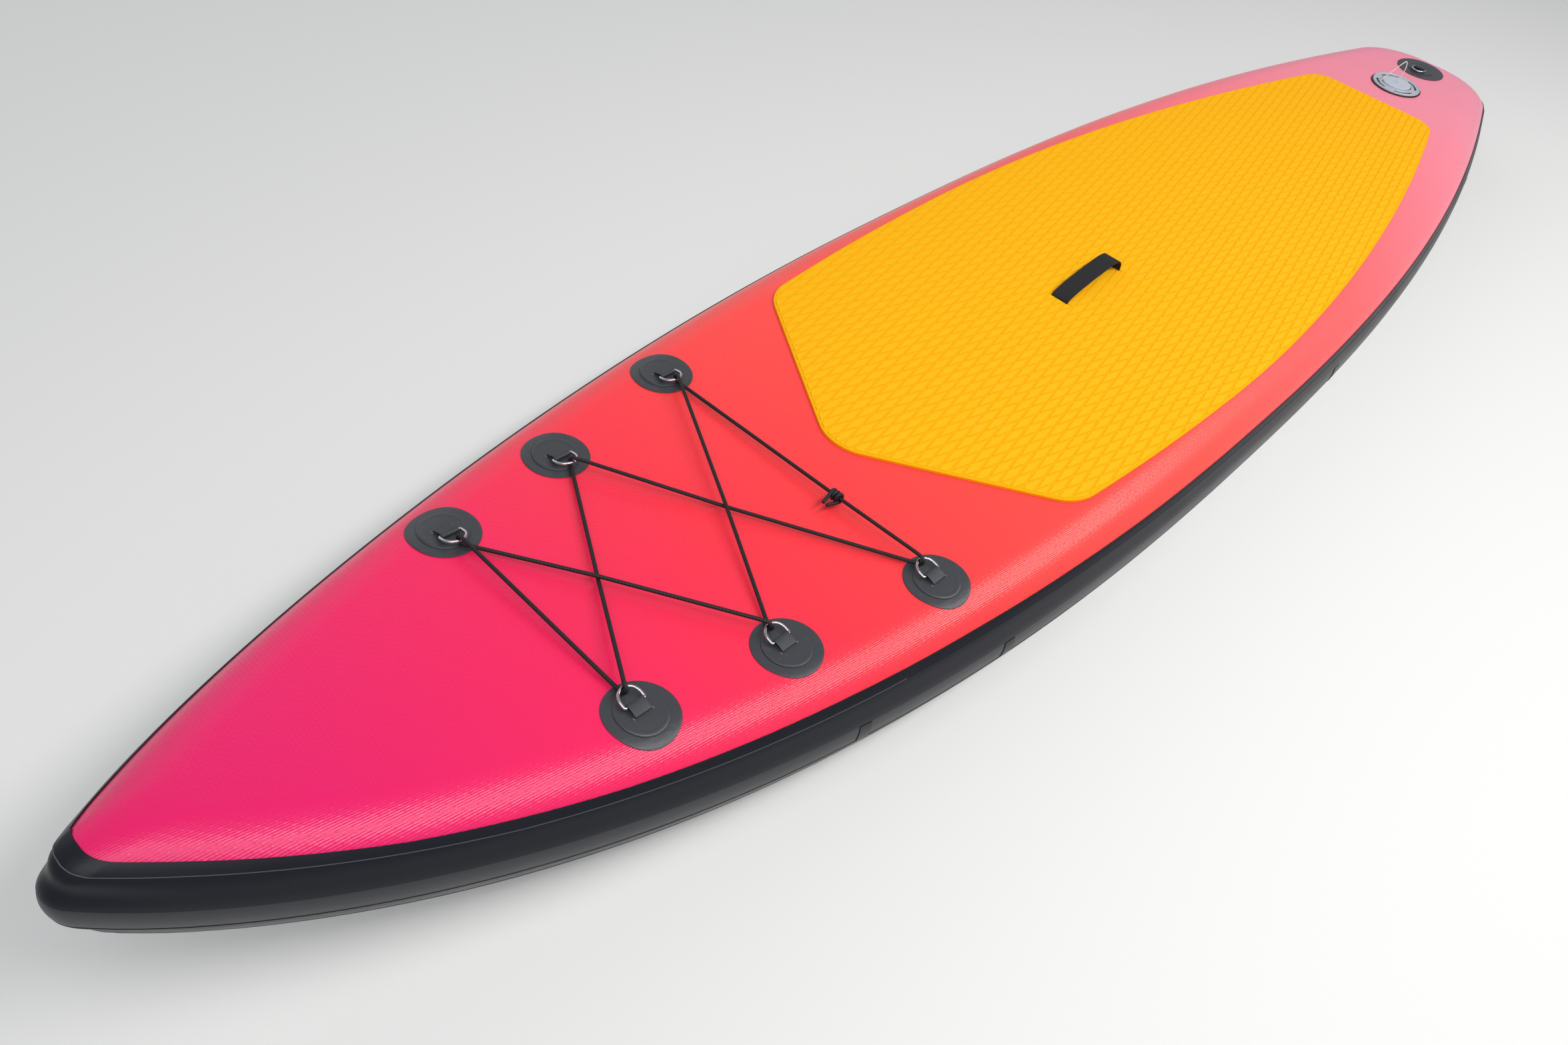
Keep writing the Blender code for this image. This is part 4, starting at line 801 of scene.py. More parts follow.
# %% Pad sheet and diamonds
GROOVE_DEPTH, GROOVE_WIDTH, DIAMOND_BEVEL = 0.0012, 0.0028, 0.0005
SLOPE_ONE, SLOPE_TWO, GROOVE_SPACING = -0.268, 0.196, 0.0156
PAD_RIM, PAD_EDGE, SMALLEST_DIAMOND, DIAMOND_ROOT = 0.0036, 0.0006, 0.000012, 0.0003
DIAMOND_COUNT, DIAMOND_ORIGIN, DIAMOND_AREA, FAR_OFF = 75, 1.35, (0.35, 2.35, 0.34), 9.0
HANDLE_FRONT, HANDLE_REAR = 1.7335, 1.5680
HANDLE_WIDTH, HANDLE_THICKNESS, HANDLE_RISE = 0.032, 0.0022, 0.0290
SLIT_ROOM = 0.0008


def clipped(polygon, loop):
    """A small convex polygon cut off by a larger convex loop."""
    count = len(loop)
    for k in range(count):
        a, b = loop[k], loop[(k + 1) % count]
        edge = b - a
        side = [edge[0] * (p[1] - a[1]) - edge[1] * (p[0] - a[0]) for p in polygon]
        if min(side) >= 0:
            continue
        kept = []
        for i, p in enumerate(polygon):
            q, here, there = polygon[(i + 1) % len(polygon)], side[i], side[(i + 1) % len(polygon)]
            if here >= 0:
                kept.append(p)
            if (here >= 0) != (there >= 0):
                kept.append(p + (q - p) * here / (here - there))
        polygon = kept
        if len(polygon) < 3:
            return []
    return polygon


def shrunk_cell(corners, depth):
    """A parallelogram with its sides moved inwards."""
    one, two = corners[1] - corners[0], corners[3] - corners[0]
    area = abs(one[0] * two[1] - one[1] * two[0])
    one, two = one * (depth * np.linalg.norm(two) / area), two * (depth * np.linalg.norm(one) / area)
    return [corners[0] + one + two, corners[1] - one + two, corners[2] - one - two, corners[3] + one - two]


def bevelled(polygon, depth):
    """A smaller polygon of the same corners about its middle, and its area."""
    middle = sum(polygon) / len(polygon)
    around = list(zip(polygon, polygon[1:] + polygon[:1]))
    area = 0.5 * abs(sum(a[0] * b[1] - a[1] * b[0] for a, b in around))
    inner = 2 * area / sum(np.linalg.norm(b - a) for a, b in around)
    share = max(0.3, 1 - depth / inner)
    return [middle + (p - middle) * share for p in polygon], area


def beside_slits(polygon, feet, slit):
    """The polygon, parted where one of the handle's slits crosses it."""
    parts = [polygon] if len(polygon) > 2 else []
    for foot in feet:
        across = HANDLE_WIDTH / 2 + slit
        low, high = foot - slit, foot + slit
        kept = []
        for part in parts:
            if min(p[0] for p in part) > high or max(p[0] for p in part) < low \
                    or min(p[1] for p in part) > across or max(p[1] for p in part) < -across:
                kept.append(part)
                continue
            for near, far in (((-FAR_OFF, -FAR_OFF), (low, FAR_OFF)), ((high, -FAR_OFF), (FAR_OFF, FAR_OFF))):
                square = [np.array(c) for c in (near, (far[0], near[1]), far, (near[0], far[1]))]
                left = clipped(part, square)
                if len(left) > 2:
                    kept.append(left)
        parts = kept
    return parts


def diamond_cells():
    """Corners of every diamond whose middle lies near the pad."""
    step_one, step_two = (GROOVE_SPACING * math.hypot(1, slope) for slope in (SLOPE_ONE, SLOPE_TWO))
    rear, front, side = DIAMOND_AREA
    for i in range(-DIAMOND_COUNT, DIAMOND_COUNT + 1):
        for j in range(-DIAMOND_COUNT, DIAMOND_COUNT + 1):
            corners = []
            for a, b in ((i, j), (i, j + 1), (i + 1, j + 1), (i + 1, j)):
                x = (a * step_one - b * step_two) / (SLOPE_TWO - SLOPE_ONE)
                corners.append(np.array([x + board_x(DIAMOND_ORIGIN), SLOPE_TWO * x + b * step_two]))
            middle = sum(corners) / 4
            if not board_x(rear) < middle[0] < board_x(front) or abs(middle[1]) > side:
                continue
            turns_right = np.cross(corners[1] - corners[0], corners[2] - corners[1]) < 0
            yield corners[::-1] if turns_right else corners


def build_pad():
    """The base sheet and, standing in it, one block with sloping sides for each diamond."""
    floor_lift, top_lift = TOUCH + PAD_THICKNESS - GROOVE_DEPTH, TOUCH + PAD_THICKNESS
    profile = [(0.0, TOUCH), (0.0, floor_lift - PAD_EDGE)]
    profile += [(depth, floor_lift) for depth in (PAD_EDGE, 0.008, 0.016, 0.026)]
    loops = [[draped(x, y, lift) for x, y in inset_loop(pad_loop, depth)] for depth, lift in profile]
    count = len(pad_loop)
    points = [p for loop in loops for p in loop]
    faces = loops_to_faces(count, len(loops), False)
    faces += lid_faces(count, 0) + lid_faces(count, (len(loops) - 1) * count)
    marks = [0] * len(faces)
    rim = inset_loop(pad_loop, PAD_RIM)[::-1]
    feet = [board_x(HANDLE_FRONT), board_x(HANDLE_REAR)]
    slit = HANDLE_THICKNESS / 2 + SLIT_ROOM
    diamonds = 0
    for corners in diamond_cells():
        for low in beside_slits(clipped(shrunk_cell(corners, GROOVE_WIDTH / 2), rim), feet, slit):
            top, area = bevelled(low, DIAMOND_BEVEL)
            if area < SMALLEST_DIAMOND:
                continue
            base, sides = len(points), len(low)
            points += [draped(*p, floor_lift - DIAMOND_ROOT) for p in low]
            points += [draped(*p, top_lift) for p in top]
            faces += [tuple(range(base, base + sides)), tuple(range(base + sides, base + 2 * sides))]
            faces += [(base + k, base + (k + 1) % sides, base + sides + (k + 1) % sides, base + sides + k)
                      for k in range(sides)]
            marks += [1] * (sides + 2)
            diamonds += 1
    made = piece("pad_foam", points, faces, [foam_groove_painted_shade, foam_top], "deck_foam", ["traction_pad"],
                 sharp=20.0)
    # The base sheet takes the darker groove finish (painted shade), the diamonds the lighter one.
    for face, mark in zip(made.data.polygons, marks):
        face.material_index = mark
    print("pad:", diamonds, "diamonds,", len(faces), "faces")


build_pad()

# %% [markdown]
# ## Carry handle
#
# A strap of webbing comes up through a slit in the pad, rises in a long slope and curls down into a
# second slit. It is a ribbon along one smooth path, with rounded edges and a raised selvedge on each
# side.

# %% Handle strap
SELVEDGE_WIDTH, SELVEDGE_TOP, SELVEDGE_DIP = 0.0028, 0.0016, 0.86


def smooth_route(points, steps):
    """Points on a smooth curve through the route's own points."""
    route = [Vector(p) for p in points]
    route = [route[0] * 2 - route[1]] + route + [route[-1] * 2 - route[-2]]
    out = []
    for p0, p1, p2, p3 in zip(route, route[1:], route[2:], route[3:]):
        for k in range(steps):
            t = k / steps
            out.append(0.5 * ((2 * p1) + (p2 - p0) * t + (2 * p0 - 5 * p1 + 4 * p2 - p3) * t * t
                              + (3 * p1 - p0 - 3 * p2 + p3) * t ** 3))
    return out + [route[-2]]


def ribbon_section(thick, width):
    """Cross-section of webbing: (across, above), with round edges and a fuller selvedge."""
    half, rise = width / 2, thick / 2
    rim = [(half - rise * (1 - math.cos(t)), rise * math.sin(t))
           for t in np.linspace(math.pi / 2, -math.pi / 2, 7)]
    upper = [(half - SELVEDGE_WIDTH, rise * SELVEDGE_DIP), (half - SELVEDGE_TOP, rise)]
    right = upper + rim + [(a, -b) for a, b in upper[::-1]]
    return right + [(-a, -b) for a, b in right]


def ribbon_piece(name, path, thick, width, matrix, finish, slot, node):
    """A strap along a path of (x, z) points, its width along Y, placed by a matrix."""
    section, loops = ribbon_section(thick, width), []
    for k, (x, z) in enumerate(path):
        before, after = path[max(k - 1, 0)], path[min(k + 1, len(path) - 1)]
        along = Vector((after[0] - before[0], after[1] - before[1])).normalized()
        loops.append([matrix @ Vector((x - along.y * up, across, z + along.x * up))
                      for across, up in section])
    piece(name, *capped_stack(loops), finish, slot, [node], sharp=60)


FOOT = 0.0010 + 2 * TOUCH
handle_run = HANDLE_FRONT - HANDLE_REAR
handle_rises = ((0.004, 0.20), (0.035, 0.33), (0.170, 0.56), (0.400, 0.77), (0.660, 0.95), (0.820, 1.0),
                (0.935, 0.88), (0.990, 0.58), (1.004, 0.30))
handle_shape = [(0.000, FOOT), *((run, share * HANDLE_RISE) for run, share in handle_rises), (1.000, FOOT)]
handle_points = smooth_route([(HANDLE_FRONT - handle_run * run, rise, 0) for run, rise in handle_shape], 7)
handle_place = Matrix.Translation((board_x(0), 0, deck_at(board_x(1.65), 0)[0].z))
ribbon_piece("handle_webbing", [(p.x, p.y) for p in handle_points], HANDLE_THICKNESS, HANDLE_WIDTH,
             handle_place, webbing, "webbing", "handle_strap")
print("handle strap:", len(handle_points), "sections")

# %% [markdown]
# ## Ring stations
#
# Each station is a round patch, a smaller disc welded on it, a folded loop of webbing out of a slit in
# the disc, and a steel D-ring. Patch and disc are polar grids draped on the deck. The disc's edge is
# rounded and stands a little proud, and beside it the patch shows short creases that fan outwards on the
# side away from the ring, where the flat sheet was heated and pressed.

# %% Patches and discs
PATCH_RADIUS, DISC_RADIUS, PATCH_THICKNESS, DISC_THICKNESS = 0.044, 0.031, 0.0010, 0.0012
TAIL_PATCH_RADIUS, TAIL_PATCH_X = 0.055, 0.130
BAR_OFFSET = 0.0106
STATIONS = {"port_front": (2.821, 0.169), "port_middle": (2.624, 0.203), "port_rear": (2.393, 0.250)}
STATIONS.update({name.replace("port", "starboard"): (x, -y) for name, (x, y) in list(STATIONS.items())})
TURNS, PATCH_STEPS, DISC_STEPS, PATCH_EDGE, DISC_EDGE = 96, 26, 12, 0.0005, 0.0009
CREASE_FROM_DISC, CREASE_SPREAD, CREASE_COUNT, PATCH_CREASE = 0.0045, 0.0035, 46, 0.00050
SWELL_INSIDE, SWELL_SPREAD, DISC_SWELL = 0.0030, 0.0022, 0.00095


def polar_sheet(name, x, y, profile, rise, finish, slot, node):
    """A draped round sheet from (radius, lift) steps, middle first; rise adds height by radius and turn."""
    loops = []
    for radius, lift in profile:
        loop = []
        for turn in circle(TURNS):
            extra = rise(radius, turn) if lift > profile[-1][1] else 0.0
            loop.append(draped(x + radius * math.cos(turn), y + radius * math.sin(turn), lift + extra))
        loops.append(loop)
    piece(name, *capped_stack(loops), finish, slot, [node], sharp=50)


def sheet_profile(radius, low, thick, steps, round_edge):
    """Steps of radius and lift over a round sheet's top, round its edge and back under it."""
    top = low + thick
    inner = [(radius * share, top) for share in np.linspace(0.04, 0.9, steps)]
    edge = [(radius - round_edge * (1 - math.sin(t)), top - round_edge * (1 - math.cos(t)))
            for t in np.linspace(0, math.pi / 2, 4)]
    return inner + edge + [(radius, low), (radius * 0.04, low)]


def build_sheets(tag, x, y, patch_radius, out_angle):
    """A station's patch, creased towards out_angle, and the disc with its swollen edge on top."""
    def patch_rise(radius, turn):
        fan = math.cos(turn - out_angle)
        near = bell(radius, DISC_RADIUS + CREASE_FROM_DISC, CREASE_SPREAD)
        creases = max(0.0, math.sin(turn * CREASE_COUNT + 1.3 * math.sin(3 * turn)))
        return PATCH_CREASE * near * creases * max(0.0, fan) ** 2

    def disc_rise(radius, turn):
        swell = bell(radius, DISC_RADIUS - SWELL_INSIDE, SWELL_SPREAD)
        return DISC_SWELL * swell * (0.6 + 0.4 * math.cos(turn - out_angle))

    disc_low = TOUCH + PATCH_THICKNESS + TOUCH / 3
    patch = sheet_profile(patch_radius, TOUCH, PATCH_THICKNESS, PATCH_STEPS, PATCH_EDGE)
    disc = sheet_profile(DISC_RADIUS, disc_low, DISC_THICKNESS, DISC_STEPS, DISC_EDGE)
    for kind, profile, rise in (("patch", patch, patch_rise), ("disc", disc, disc_rise)):
        polar_sheet("%s_sheet_%s" % (kind, tag), board_x(x), y, profile, rise, patch_vinyl, "patch_vinyl",
                    "%s_%s" % (kind, tag))


for tag, (x, y) in STATIONS.items():
    build_sheets(tag, x, y, PATCH_RADIUS, math.copysign(math.pi / 2, y) * 0.6)
build_sheets("tail", TAIL_PATCH_X, 0, TAIL_PATCH_RADIUS, math.pi)
print("stations:", len(STATIONS) + 1)

# %% [markdown]
# The ring is 4 mm wire bent to a D. Its bar lies in the webbing and its arc leans up over the deck, held
# by the cord's pull. Wire and cord are both tubes along a path: at each point a small circle stands
# square to the path, carried along without twist.

# %% Tubes
def tube_rings(path, radius, sides, closed):
    """Circles square to a path, carried along it without twist."""
    count = len(path)
    tangents = []
    for k in range(count):
        before = path[k - 1] if closed or k else path[0]
        after = path[(k + 1) % count] if closed or k < count - 1 else path[-1]
        tangents.append((after - before).normalized())
    guide = Vector((0, 0, 1)) if abs(tangents[0].z) < 0.9 else Vector((0, 1, 0))
    rings = []
    for here, tangent in zip(path, tangents):
        guide = (guide - tangent * guide.dot(tangent)).normalized()
        side = tangent.cross(guide)
        rings.append([here + (guide * math.cos(t) + side * math.sin(t)) * radius for t in circle(sides)])
    return rings


def tube_piece(name, path, radius, finish, slot, nodes, body="root", sides=14, closed=False, end=0.0):
    """A tube; end adds rounded ends that much longer. Its map holds length in metres and share of a turn."""
    rings = tube_rings(path, radius, sides, closed)
    if end:
        for at, sign in ((0, -1), (-1, 1)):
            away = (path[at] - path[1 if at == 0 else -2]).normalized()
            middle = path[at]
            caps = [[middle + (p - middle) * math.cos(t) + away * end * math.sin(t) for p in rings[at]]
                    for t in (0.6, 1.1, 1.45)]
            rings = caps[::-1] + rings if at == 0 else rings + caps
    made = piece(name, *capped_stack(rings, closed), finish, slot, nodes, body, sharp=70)
    run = [0.0]
    for a, b in zip(rings, rings[1:]):
        run.append(run[-1] + (b[0] - a[0]).length)
    layer = made.data.uv_layers.new(name="length_and_turn")
    for face in made.data.polygons:
        wraps = {made.data.loops[i].vertex_index % sides for i in face.loop_indices} == {0, sides - 1}
        for i in face.loop_indices:
            vertex = made.data.loops[i].vertex_index
            turn = vertex % sides
            layer.data[i].uv = (run[vertex // sides], (sides if wraps and turn == 0 else turn) / sides)
    return made


# %% Rings and webbing loops
WIRE, RING_INNER_WIDTH, RING_CORNER, RING_DEPTH = 0.0020, 0.0254, 0.0025, 0.0215
WEB_THICKNESS, WEB_SIDE_ROOM, WEB_TAIL = 0.0010, 0.0006, 0.0140
CORD, BIGHT_ROOM = 0.0050, 0.0014
DISC_TOP = TOUCH + PATCH_THICKNESS + TOUCH + DISC_THICKNESS
BAR_HEIGHT = TOUCH + WEB_THICKNESS + TOUCH + WIRE
BIGHT_RADIUS = WIRE + BIGHT_ROOM + CORD / 2
ARC_HEIGHT = TOUCH + CORD / 2 + BIGHT_RADIUS
RING_TILT = math.asin((ARC_HEIGHT - BAR_HEIGHT) / RING_DEPTH)


def ring_path():
    """Middle line of the wire: bar on the X axis, arc towards +Y."""
    half = RING_INNER_WIDTH / 2 + WIRE
    corner = [(half - RING_CORNER + RING_CORNER * math.sin(t), RING_CORNER * (1 - math.cos(t)))
              for t in np.linspace(0, math.pi / 2, 7)]
    arc = [(half * math.cos(t), RING_DEPTH - half + half * math.sin(t)) for t in np.linspace(0, math.pi, 41)]
    bar = [(x, 0.0) for x in np.linspace(-half + RING_CORNER, half - RING_CORNER, 9)[1:-1]]
    flat = corner + arc + [(-x, y) for x, y in corner[::-1]] + bar
    return [Vector((x, y, 0)) for x, y in flat]


def webbing_path():
    """Middle line of the loop, (y, z): from the slit, round the bar and back over itself."""
    low = TOUCH + WEB_THICKNESS / 2
    bend = WIRE + TOUCH + WEB_THICKNESS / 2
    path = [(-WEB_TAIL, low), (-WEB_TAIL / 2, low)]
    path += [(bend * math.cos(t), BAR_HEIGHT + bend * math.sin(t))
             for t in np.linspace(-math.pi / 2, math.pi / 2, 17)]
    over = low + WEB_THICKNESS + TOUCH
    drop = np.linspace(0, 1, 9)[1:]
    return path + [(-WEB_TAIL * s, BAR_HEIGHT + bend + (over - BAR_HEIGHT - bend) * s ** 1.3) for s in drop]


def station_frame(x, y, inboard):
    """Axes on top of the disc: X along the bar, Y to the arc, Z off the deck."""
    point, normal = deck_at(x, y)
    along = Vector(inboard).cross(normal).normalized()
    return axes_at(along, normal.cross(along).normalized(), normal, point + normal * DISC_TOP)


def build_ring(tag, x, y, inboard, tilt):
    """A station's webbing loop and its ring; returns the axes on top of its disc."""
    axes = station_frame(board_x(x) + inboard[0] * BAR_OFFSET, y + inboard[1] * BAR_OFFSET, inboard)
    quarter = Matrix.Rotation(math.pi / 2, 4, "Z")
    ribbon_piece("loop_" + tag, webbing_path(), WEB_THICKNESS, RING_INNER_WIDTH - 2 * WEB_SIDE_ROOM,
                 axes @ quarter, station_web, "webbing", "webbing_" + tag)
    lean = axes @ Matrix.Translation((0, 0, BAR_HEIGHT)) @ Matrix.Rotation(tilt, 4, "X")
    tube_piece("dring_" + tag, [lean @ p for p in ring_path()], WIRE, ring_steel, "ring_steel",
               ["ring_" + tag], body="ring_" + tag, sides=20, closed=True)
    return axes


station_axes = {tag: build_ring(tag, x, y, (0, -math.copysign(1, y), 0), RING_TILT)
                for tag, (x, y) in STATIONS.items()}
tail_axes = build_ring("tail", TAIL_PATCH_X, 0, (1, 0, 0), 0.0)
print("ring tilt: %.1f degrees" % math.degrees(RING_TILT))

# %% [markdown]
# The slit that the webbing comes out of has a low lip across the disc and a small bar of grey stitching
# at each end, which keeps the slit from tearing.

# %% Slits and bar tacks
def box_at(axes, centre, size, name, finish, slot):
    """A small block with all its edges rounded off."""
    work = bmesh.new()
    bmesh.ops.create_cube(work, size=1.0)
    bmesh.ops.scale(work, vec=size, verts=work.verts)
    bmesh.ops.bevel(work, geom=work.edges[:], offset=min(size) * 0.3, segments=2, affect="EDGES",
                    profile=0.5, clamp_overlap=True)
    bmesh.ops.transform(work, matrix=axes @ Matrix.Translation(centre), verts=work.verts)
    points = [v.co.copy() for v in work.verts]
    faces = [tuple(v.index for v in f.verts) for f in work.faces]
    work.free()
    piece(name, points, faces, finish, slot)


TACK_SIZE, TACK_BESIDE = (0.0016, 0.0034, 0.0005), 0.0012
LIP_WIDTH, LIP_HEIGHT, LIP_BEHIND = 0.0012, 0.0005, 0.0006
tack_thread = Finish("tack_thread", (0.15, 0.155, 0.17), 0.75)
tack_thread.relief((tack_thread.x * 5000.0).sine() * 0.5 + 0.5, 0.0001)
for tag, axes in [*station_axes.items(), ("tail", tail_axes)]:
    for side in (-1, 1):
        box_at(axes, (side * (RING_INNER_WIDTH / 2 + TACK_BESIDE), -WEB_TAIL + 0.0004, 0.0001), TACK_SIZE,
               "tack_%s_%s" % (tag, "left" if side < 0 else "right"), tack_thread, "webbing")
    box_at(axes, (0, -WEB_TAIL - LIP_BEHIND, 0.0), (RING_INNER_WIDTH + 0.001, LIP_WIDTH, LIP_HEIGHT),
           "slit_lip_" + tag, patch_vinyl, "patch_vinyl")
print("bar tacks:", 2 * len(station_axes) + 2)

# %% [markdown]
# ## Bungee
#
# One cord runs round all six rings: over each ring's wire, down through it and on to the next, and its
# strands cross between the rings. Its two ends are tied together beside the pad. The route is worked out
# from the rings, laid out in 2 mm steps and smoothed a little, because a cord bends round a wire without
# corners.

# %% Bungee route
BIGHT_APPROACH, BIGHT_LEAN, CROSSING_STEP, KNOT_Y, LONG_RUN = 0.012, 0.35, 0.0030, 0.0775, 0.1
LACING = ["port_rear", "starboard_middle", "port_front", "starboard_front", "port_middle", "starboard_rear"]


def bungee_route():
    """The cord's corners from the knot round all six wires and back, the knot and its direction."""
    wires = {tag: station_axes[tag] @ Vector((0, RING_DEPTH * math.cos(RING_TILT), ARC_HEIGHT))
             for tag in LACING}
    start, end = wires["starboard_rear"], wires["port_rear"]
    up = Vector((0, 0, BIGHT_RADIUS))
    knot = (start - up).lerp(end + up, (KNOT_Y - start.y) / (end.y - start.y))
    direction = (end + up - start + up).normalized()
    route = [knot + direction * TOUCH / 2]
    for k, tag in enumerate(LACING):
        axes = station_axes[tag].to_3x3()
        along, inboard, normal = (axes @ Vector(v) for v in ((1, 0, 0), (0, 1, 0), (0, 0, 1)))
        before = wires[LACING[k - 1]] - wires[tag] if k else knot - wires[tag]
        after = wires[LACING[k + 1]] - wires[tag] if k < 5 else knot - wires[tag]
        before, after = before.normalized(), after.normalized()
        lean = along * (before.dot(along) - after.dot(along)) * CORD * BIGHT_LEAN
        route.append(wires[tag] + normal * BIGHT_RADIUS + before * BIGHT_APPROACH + lean)
        for turn in np.linspace(0, math.pi, 13):
            rim = normal * math.cos(turn) - inboard * math.sin(turn)
            route.append(wires[tag] + rim * BIGHT_RADIUS + lean * math.cos(turn))
        route.append(wires[tag] - normal * BIGHT_RADIUS + after * BIGHT_APPROACH - lean)
    route.append(knot - direction * TOUCH / 2)
    return route, knot, direction


def bow_crossings(route):
    """Bows the cord over and under itself where two of its runs cross in plan."""
    runs = [(k, route[k], route[k + 1]) for k in range(len(route) - 1)
            if (route[k + 1] - route[k]).length > LONG_RUN]
    bows = {}
    for i, (first, a, b) in enumerate(runs):
        for second, c, d in runs[i + 1:]:
            r, s, q = b - a, d - c, c - a
            cross = r.x * s.y - r.y * s.x
            if abs(cross) < 1e-9:
                continue
            t, u = (q.x * s.y - q.y * s.x) / cross, (q.x * r.y - q.y * r.x) / cross
            if 0.05 < t < 0.95 and 0.05 < u < 0.95:
                here = a.lerp(b, t)
                middle = (here.z + c.lerp(d, u).z) / 2
                bows[first] = Vector((here.x, here.y, middle - CROSSING_STEP))
                bows[second] = Vector((here.x, here.y, middle + CROSSING_STEP))
    print("crossings:", len(bows) // 2)
    return [p for k, point in enumerate(route) for p in ([point, bows[k]] if k in bows else [point])]


def eased(route, step, passes):
    """The route in even steps, with its corners eased."""
    fine = []
    for a, b in zip(route, route[1:]):
        pieces = max(1, round((b - a).length / step))
        fine += [a.lerp(b, k / pieces) for k in range(pieces)]
    fine.append(route[-1])
    for _ in range(passes):
        fine = [fine[0]] + [(a + 2 * b + c) / 4 for a, b, c in zip(fine, fine[1:], fine[2:])] + [fine[-1]]
    return fine


def run_length(points):
    return sum((b - a).length for a, b in zip(points, points[1:]))


corner_route, knot_place, knot_direction = bungee_route()
bungee_line = eased(bow_crossings(corner_route), 0.0020, 3)
bungee = tube_piece("bungee_line", bungee_line, CORD / 2, cord_sleeve, "bungee_sleeve", ["bungee_cord"],
                    sides=12)
print("bungee: %.3f m in %d points" % (run_length(bungee_line), len(bungee_line)))

# %% [markdown]
# The knot draws the two ends into a tight ball from which both tails leave together. It is drawn as one
# cord that winds round the line, with two short rounded tails towards the nose.

# %% Knot
KNOT_TURNS, KNOT_GAP, KNOT_TAIL, TAIL_APART = 2.5, 0.0006, 0.017, 0.65


def knot_line():
    """A coil round the line where the ends meet, with a tail at each end of the coil."""
    radius = pitch = CORD + KNOT_GAP
    nose = Vector((1, 0, 0))
    nose = (nose - knot_direction * nose.dot(knot_direction)).normalized()
    up = knot_direction.cross(nose)
    up = up if up.z > 0 else -up
    steps = int(28 * KNOT_TURNS)
    coil = []
    for k in range(steps + 1):
        turn = math.pi / 2 + 2 * math.pi * KNOT_TURNS * k / steps
        shift = pitch * KNOT_TURNS * (k / steps - 0.5)
        coil.append(knot_place + knot_direction * shift
                    + (nose * math.cos(turn) + up * math.sin(turn)) * radius)
    goals = [knot_place + nose * (radius + KNOT_TAIL) + knot_direction * side * CORD * TAIL_APART
             for side in (-1, 1)]
    first = [coil[0].lerp(goals[0], share) for share in (1.0, 0.75, 0.5, 0.25)]
    last = [coil[-1].lerp(goals[1], share) for share in (0.25, 0.5, 0.75, 1.0)]
    return first + coil + last


knot_points = eased(knot_line(), 0.0010, 2)
knot = tube_piece("bungee_tie", knot_points, CORD / 2, cord_sleeve, "bungee_sleeve", ["bungee_knot"],
                  sides=12, end=0.0008)
tuple(bungee_line[0])
run_length(bungee_line)
[tuple(p) for p in bungee_line]
print("knot cord: %.3f m" % run_length(knot_points))

# %% [markdown]
# ## Valve
#
# The valve is turned plastic: a flange with two raised lips, four curved slots between them, and a cap that
# sits in the bore with a moat round it. Turning a profile about the valve's axis gives each part. The slots'
# floors and the bore's wall are painted dark as painted shade.

# %% Turned pieces
GASKET_RADIUS, FLANGE_RADIUS, FLANGE_HEIGHT = 0.0575, 0.0545, 0.0060
BORE_RADIUS, BARREL_RADIUS, CAP_RADIUS, CAP_RISE, CAP_THICKNESS = 0.0335, 0.0375, 0.0322, 0.0015, 0.0040
LIP, BARREL_LOW = 0.0016, -0.036
valve_point, valve_normal = deck_at(board_x(VALVE_X), 0)
valve_axes = valve_normal.to_track_quat("Z", "Y").to_matrix().to_4x4()
valve_axes.translation = valve_point


def rounded_profile(profile, radius):
    """A closed profile with each corner replaced by a small arc."""
    out = []
    count = len(profile)
    for k, corner in enumerate(profile):
        here = np.array(corner)
        before, after = np.array(profile[k - 1]) - here, np.array(profile[(k + 1) % count]) - here
        size_before, size_after = np.linalg.norm(before), np.linalg.norm(after)
        reach = min(radius, size_before * 0.45, size_after * 0.45)
        if here[0] < 1e-9:
            out.append(corner)
            continue
        a, b = here + before / size_before * reach, here + after / size_after * reach
        for t in np.linspace(0, 1, 4):
            out.append(tuple((1 - t) ** 2 * a + 2 * t * (1 - t) * here + t * t * b))
    return out


def turned_piece(name, profile, finish, slot, nodes, body="root", sides=96):
    """A profile of (radius, height) turned about the valve's axis."""
    points, faces, rings = [], [], []
    for radius, height in profile:
        if radius < 1e-9:
            rings.append([len(points)])
            points.append(valve_axes @ Vector((0, 0, height)))
            continue
        rings.append(list(range(len(points), len(points) + sides)))
        points += [valve_axes @ Vector((radius * math.cos(t), radius * math.sin(t), height))
                   for t in circle(sides)]
    for here, there in zip(rings, rings[1:] + rings[:1]):
        if len(here) == 1 and len(there) == 1:
            continue
        for k in range(sides):
            n = (k + 1) % sides
            corners = [here[k % len(here)], here[n % len(here)], there[n % len(there)], there[k % len(there)]]
            faces.append(tuple(dict.fromkeys(corners)))
    piece(name, points, faces, finish, slot, nodes, body, sharp=35)


gasket_top = TOUCH + 0.0020
gasket_profile = [(BARREL_RADIUS + TOUCH, TOUCH), (GASKET_RADIUS, TOUCH), (GASKET_RADIUS, gasket_top),
                  (BARREL_RADIUS + TOUCH, gasket_top)]
turned_piece("gasket_ring", rounded_profile(gasket_profile, 0.0008), seal_rubber, "seal_rubber",
             ["valve_gasket"])
cap_top = FLANGE_HEIGHT + CAP_RISE
skirt, cap_low = BORE_RADIUS - 0.0006, cap_top - CAP_THICKNESS
cap_profile = [(0, cap_top - 0.0004), (0.0200, cap_top - 0.0004), (0.0212, cap_top), (CAP_RADIUS, cap_top),
               (CAP_RADIUS, cap_low), (skirt - 0.0012, cap_low), (skirt - 0.0012, cap_low - 0.0024),
               (skirt, cap_low - 0.0024), (skirt, cap_low - 0.004), (skirt - 0.002, cap_low - 0.004),
               (skirt - 0.002, cap_low), (0, cap_low)]
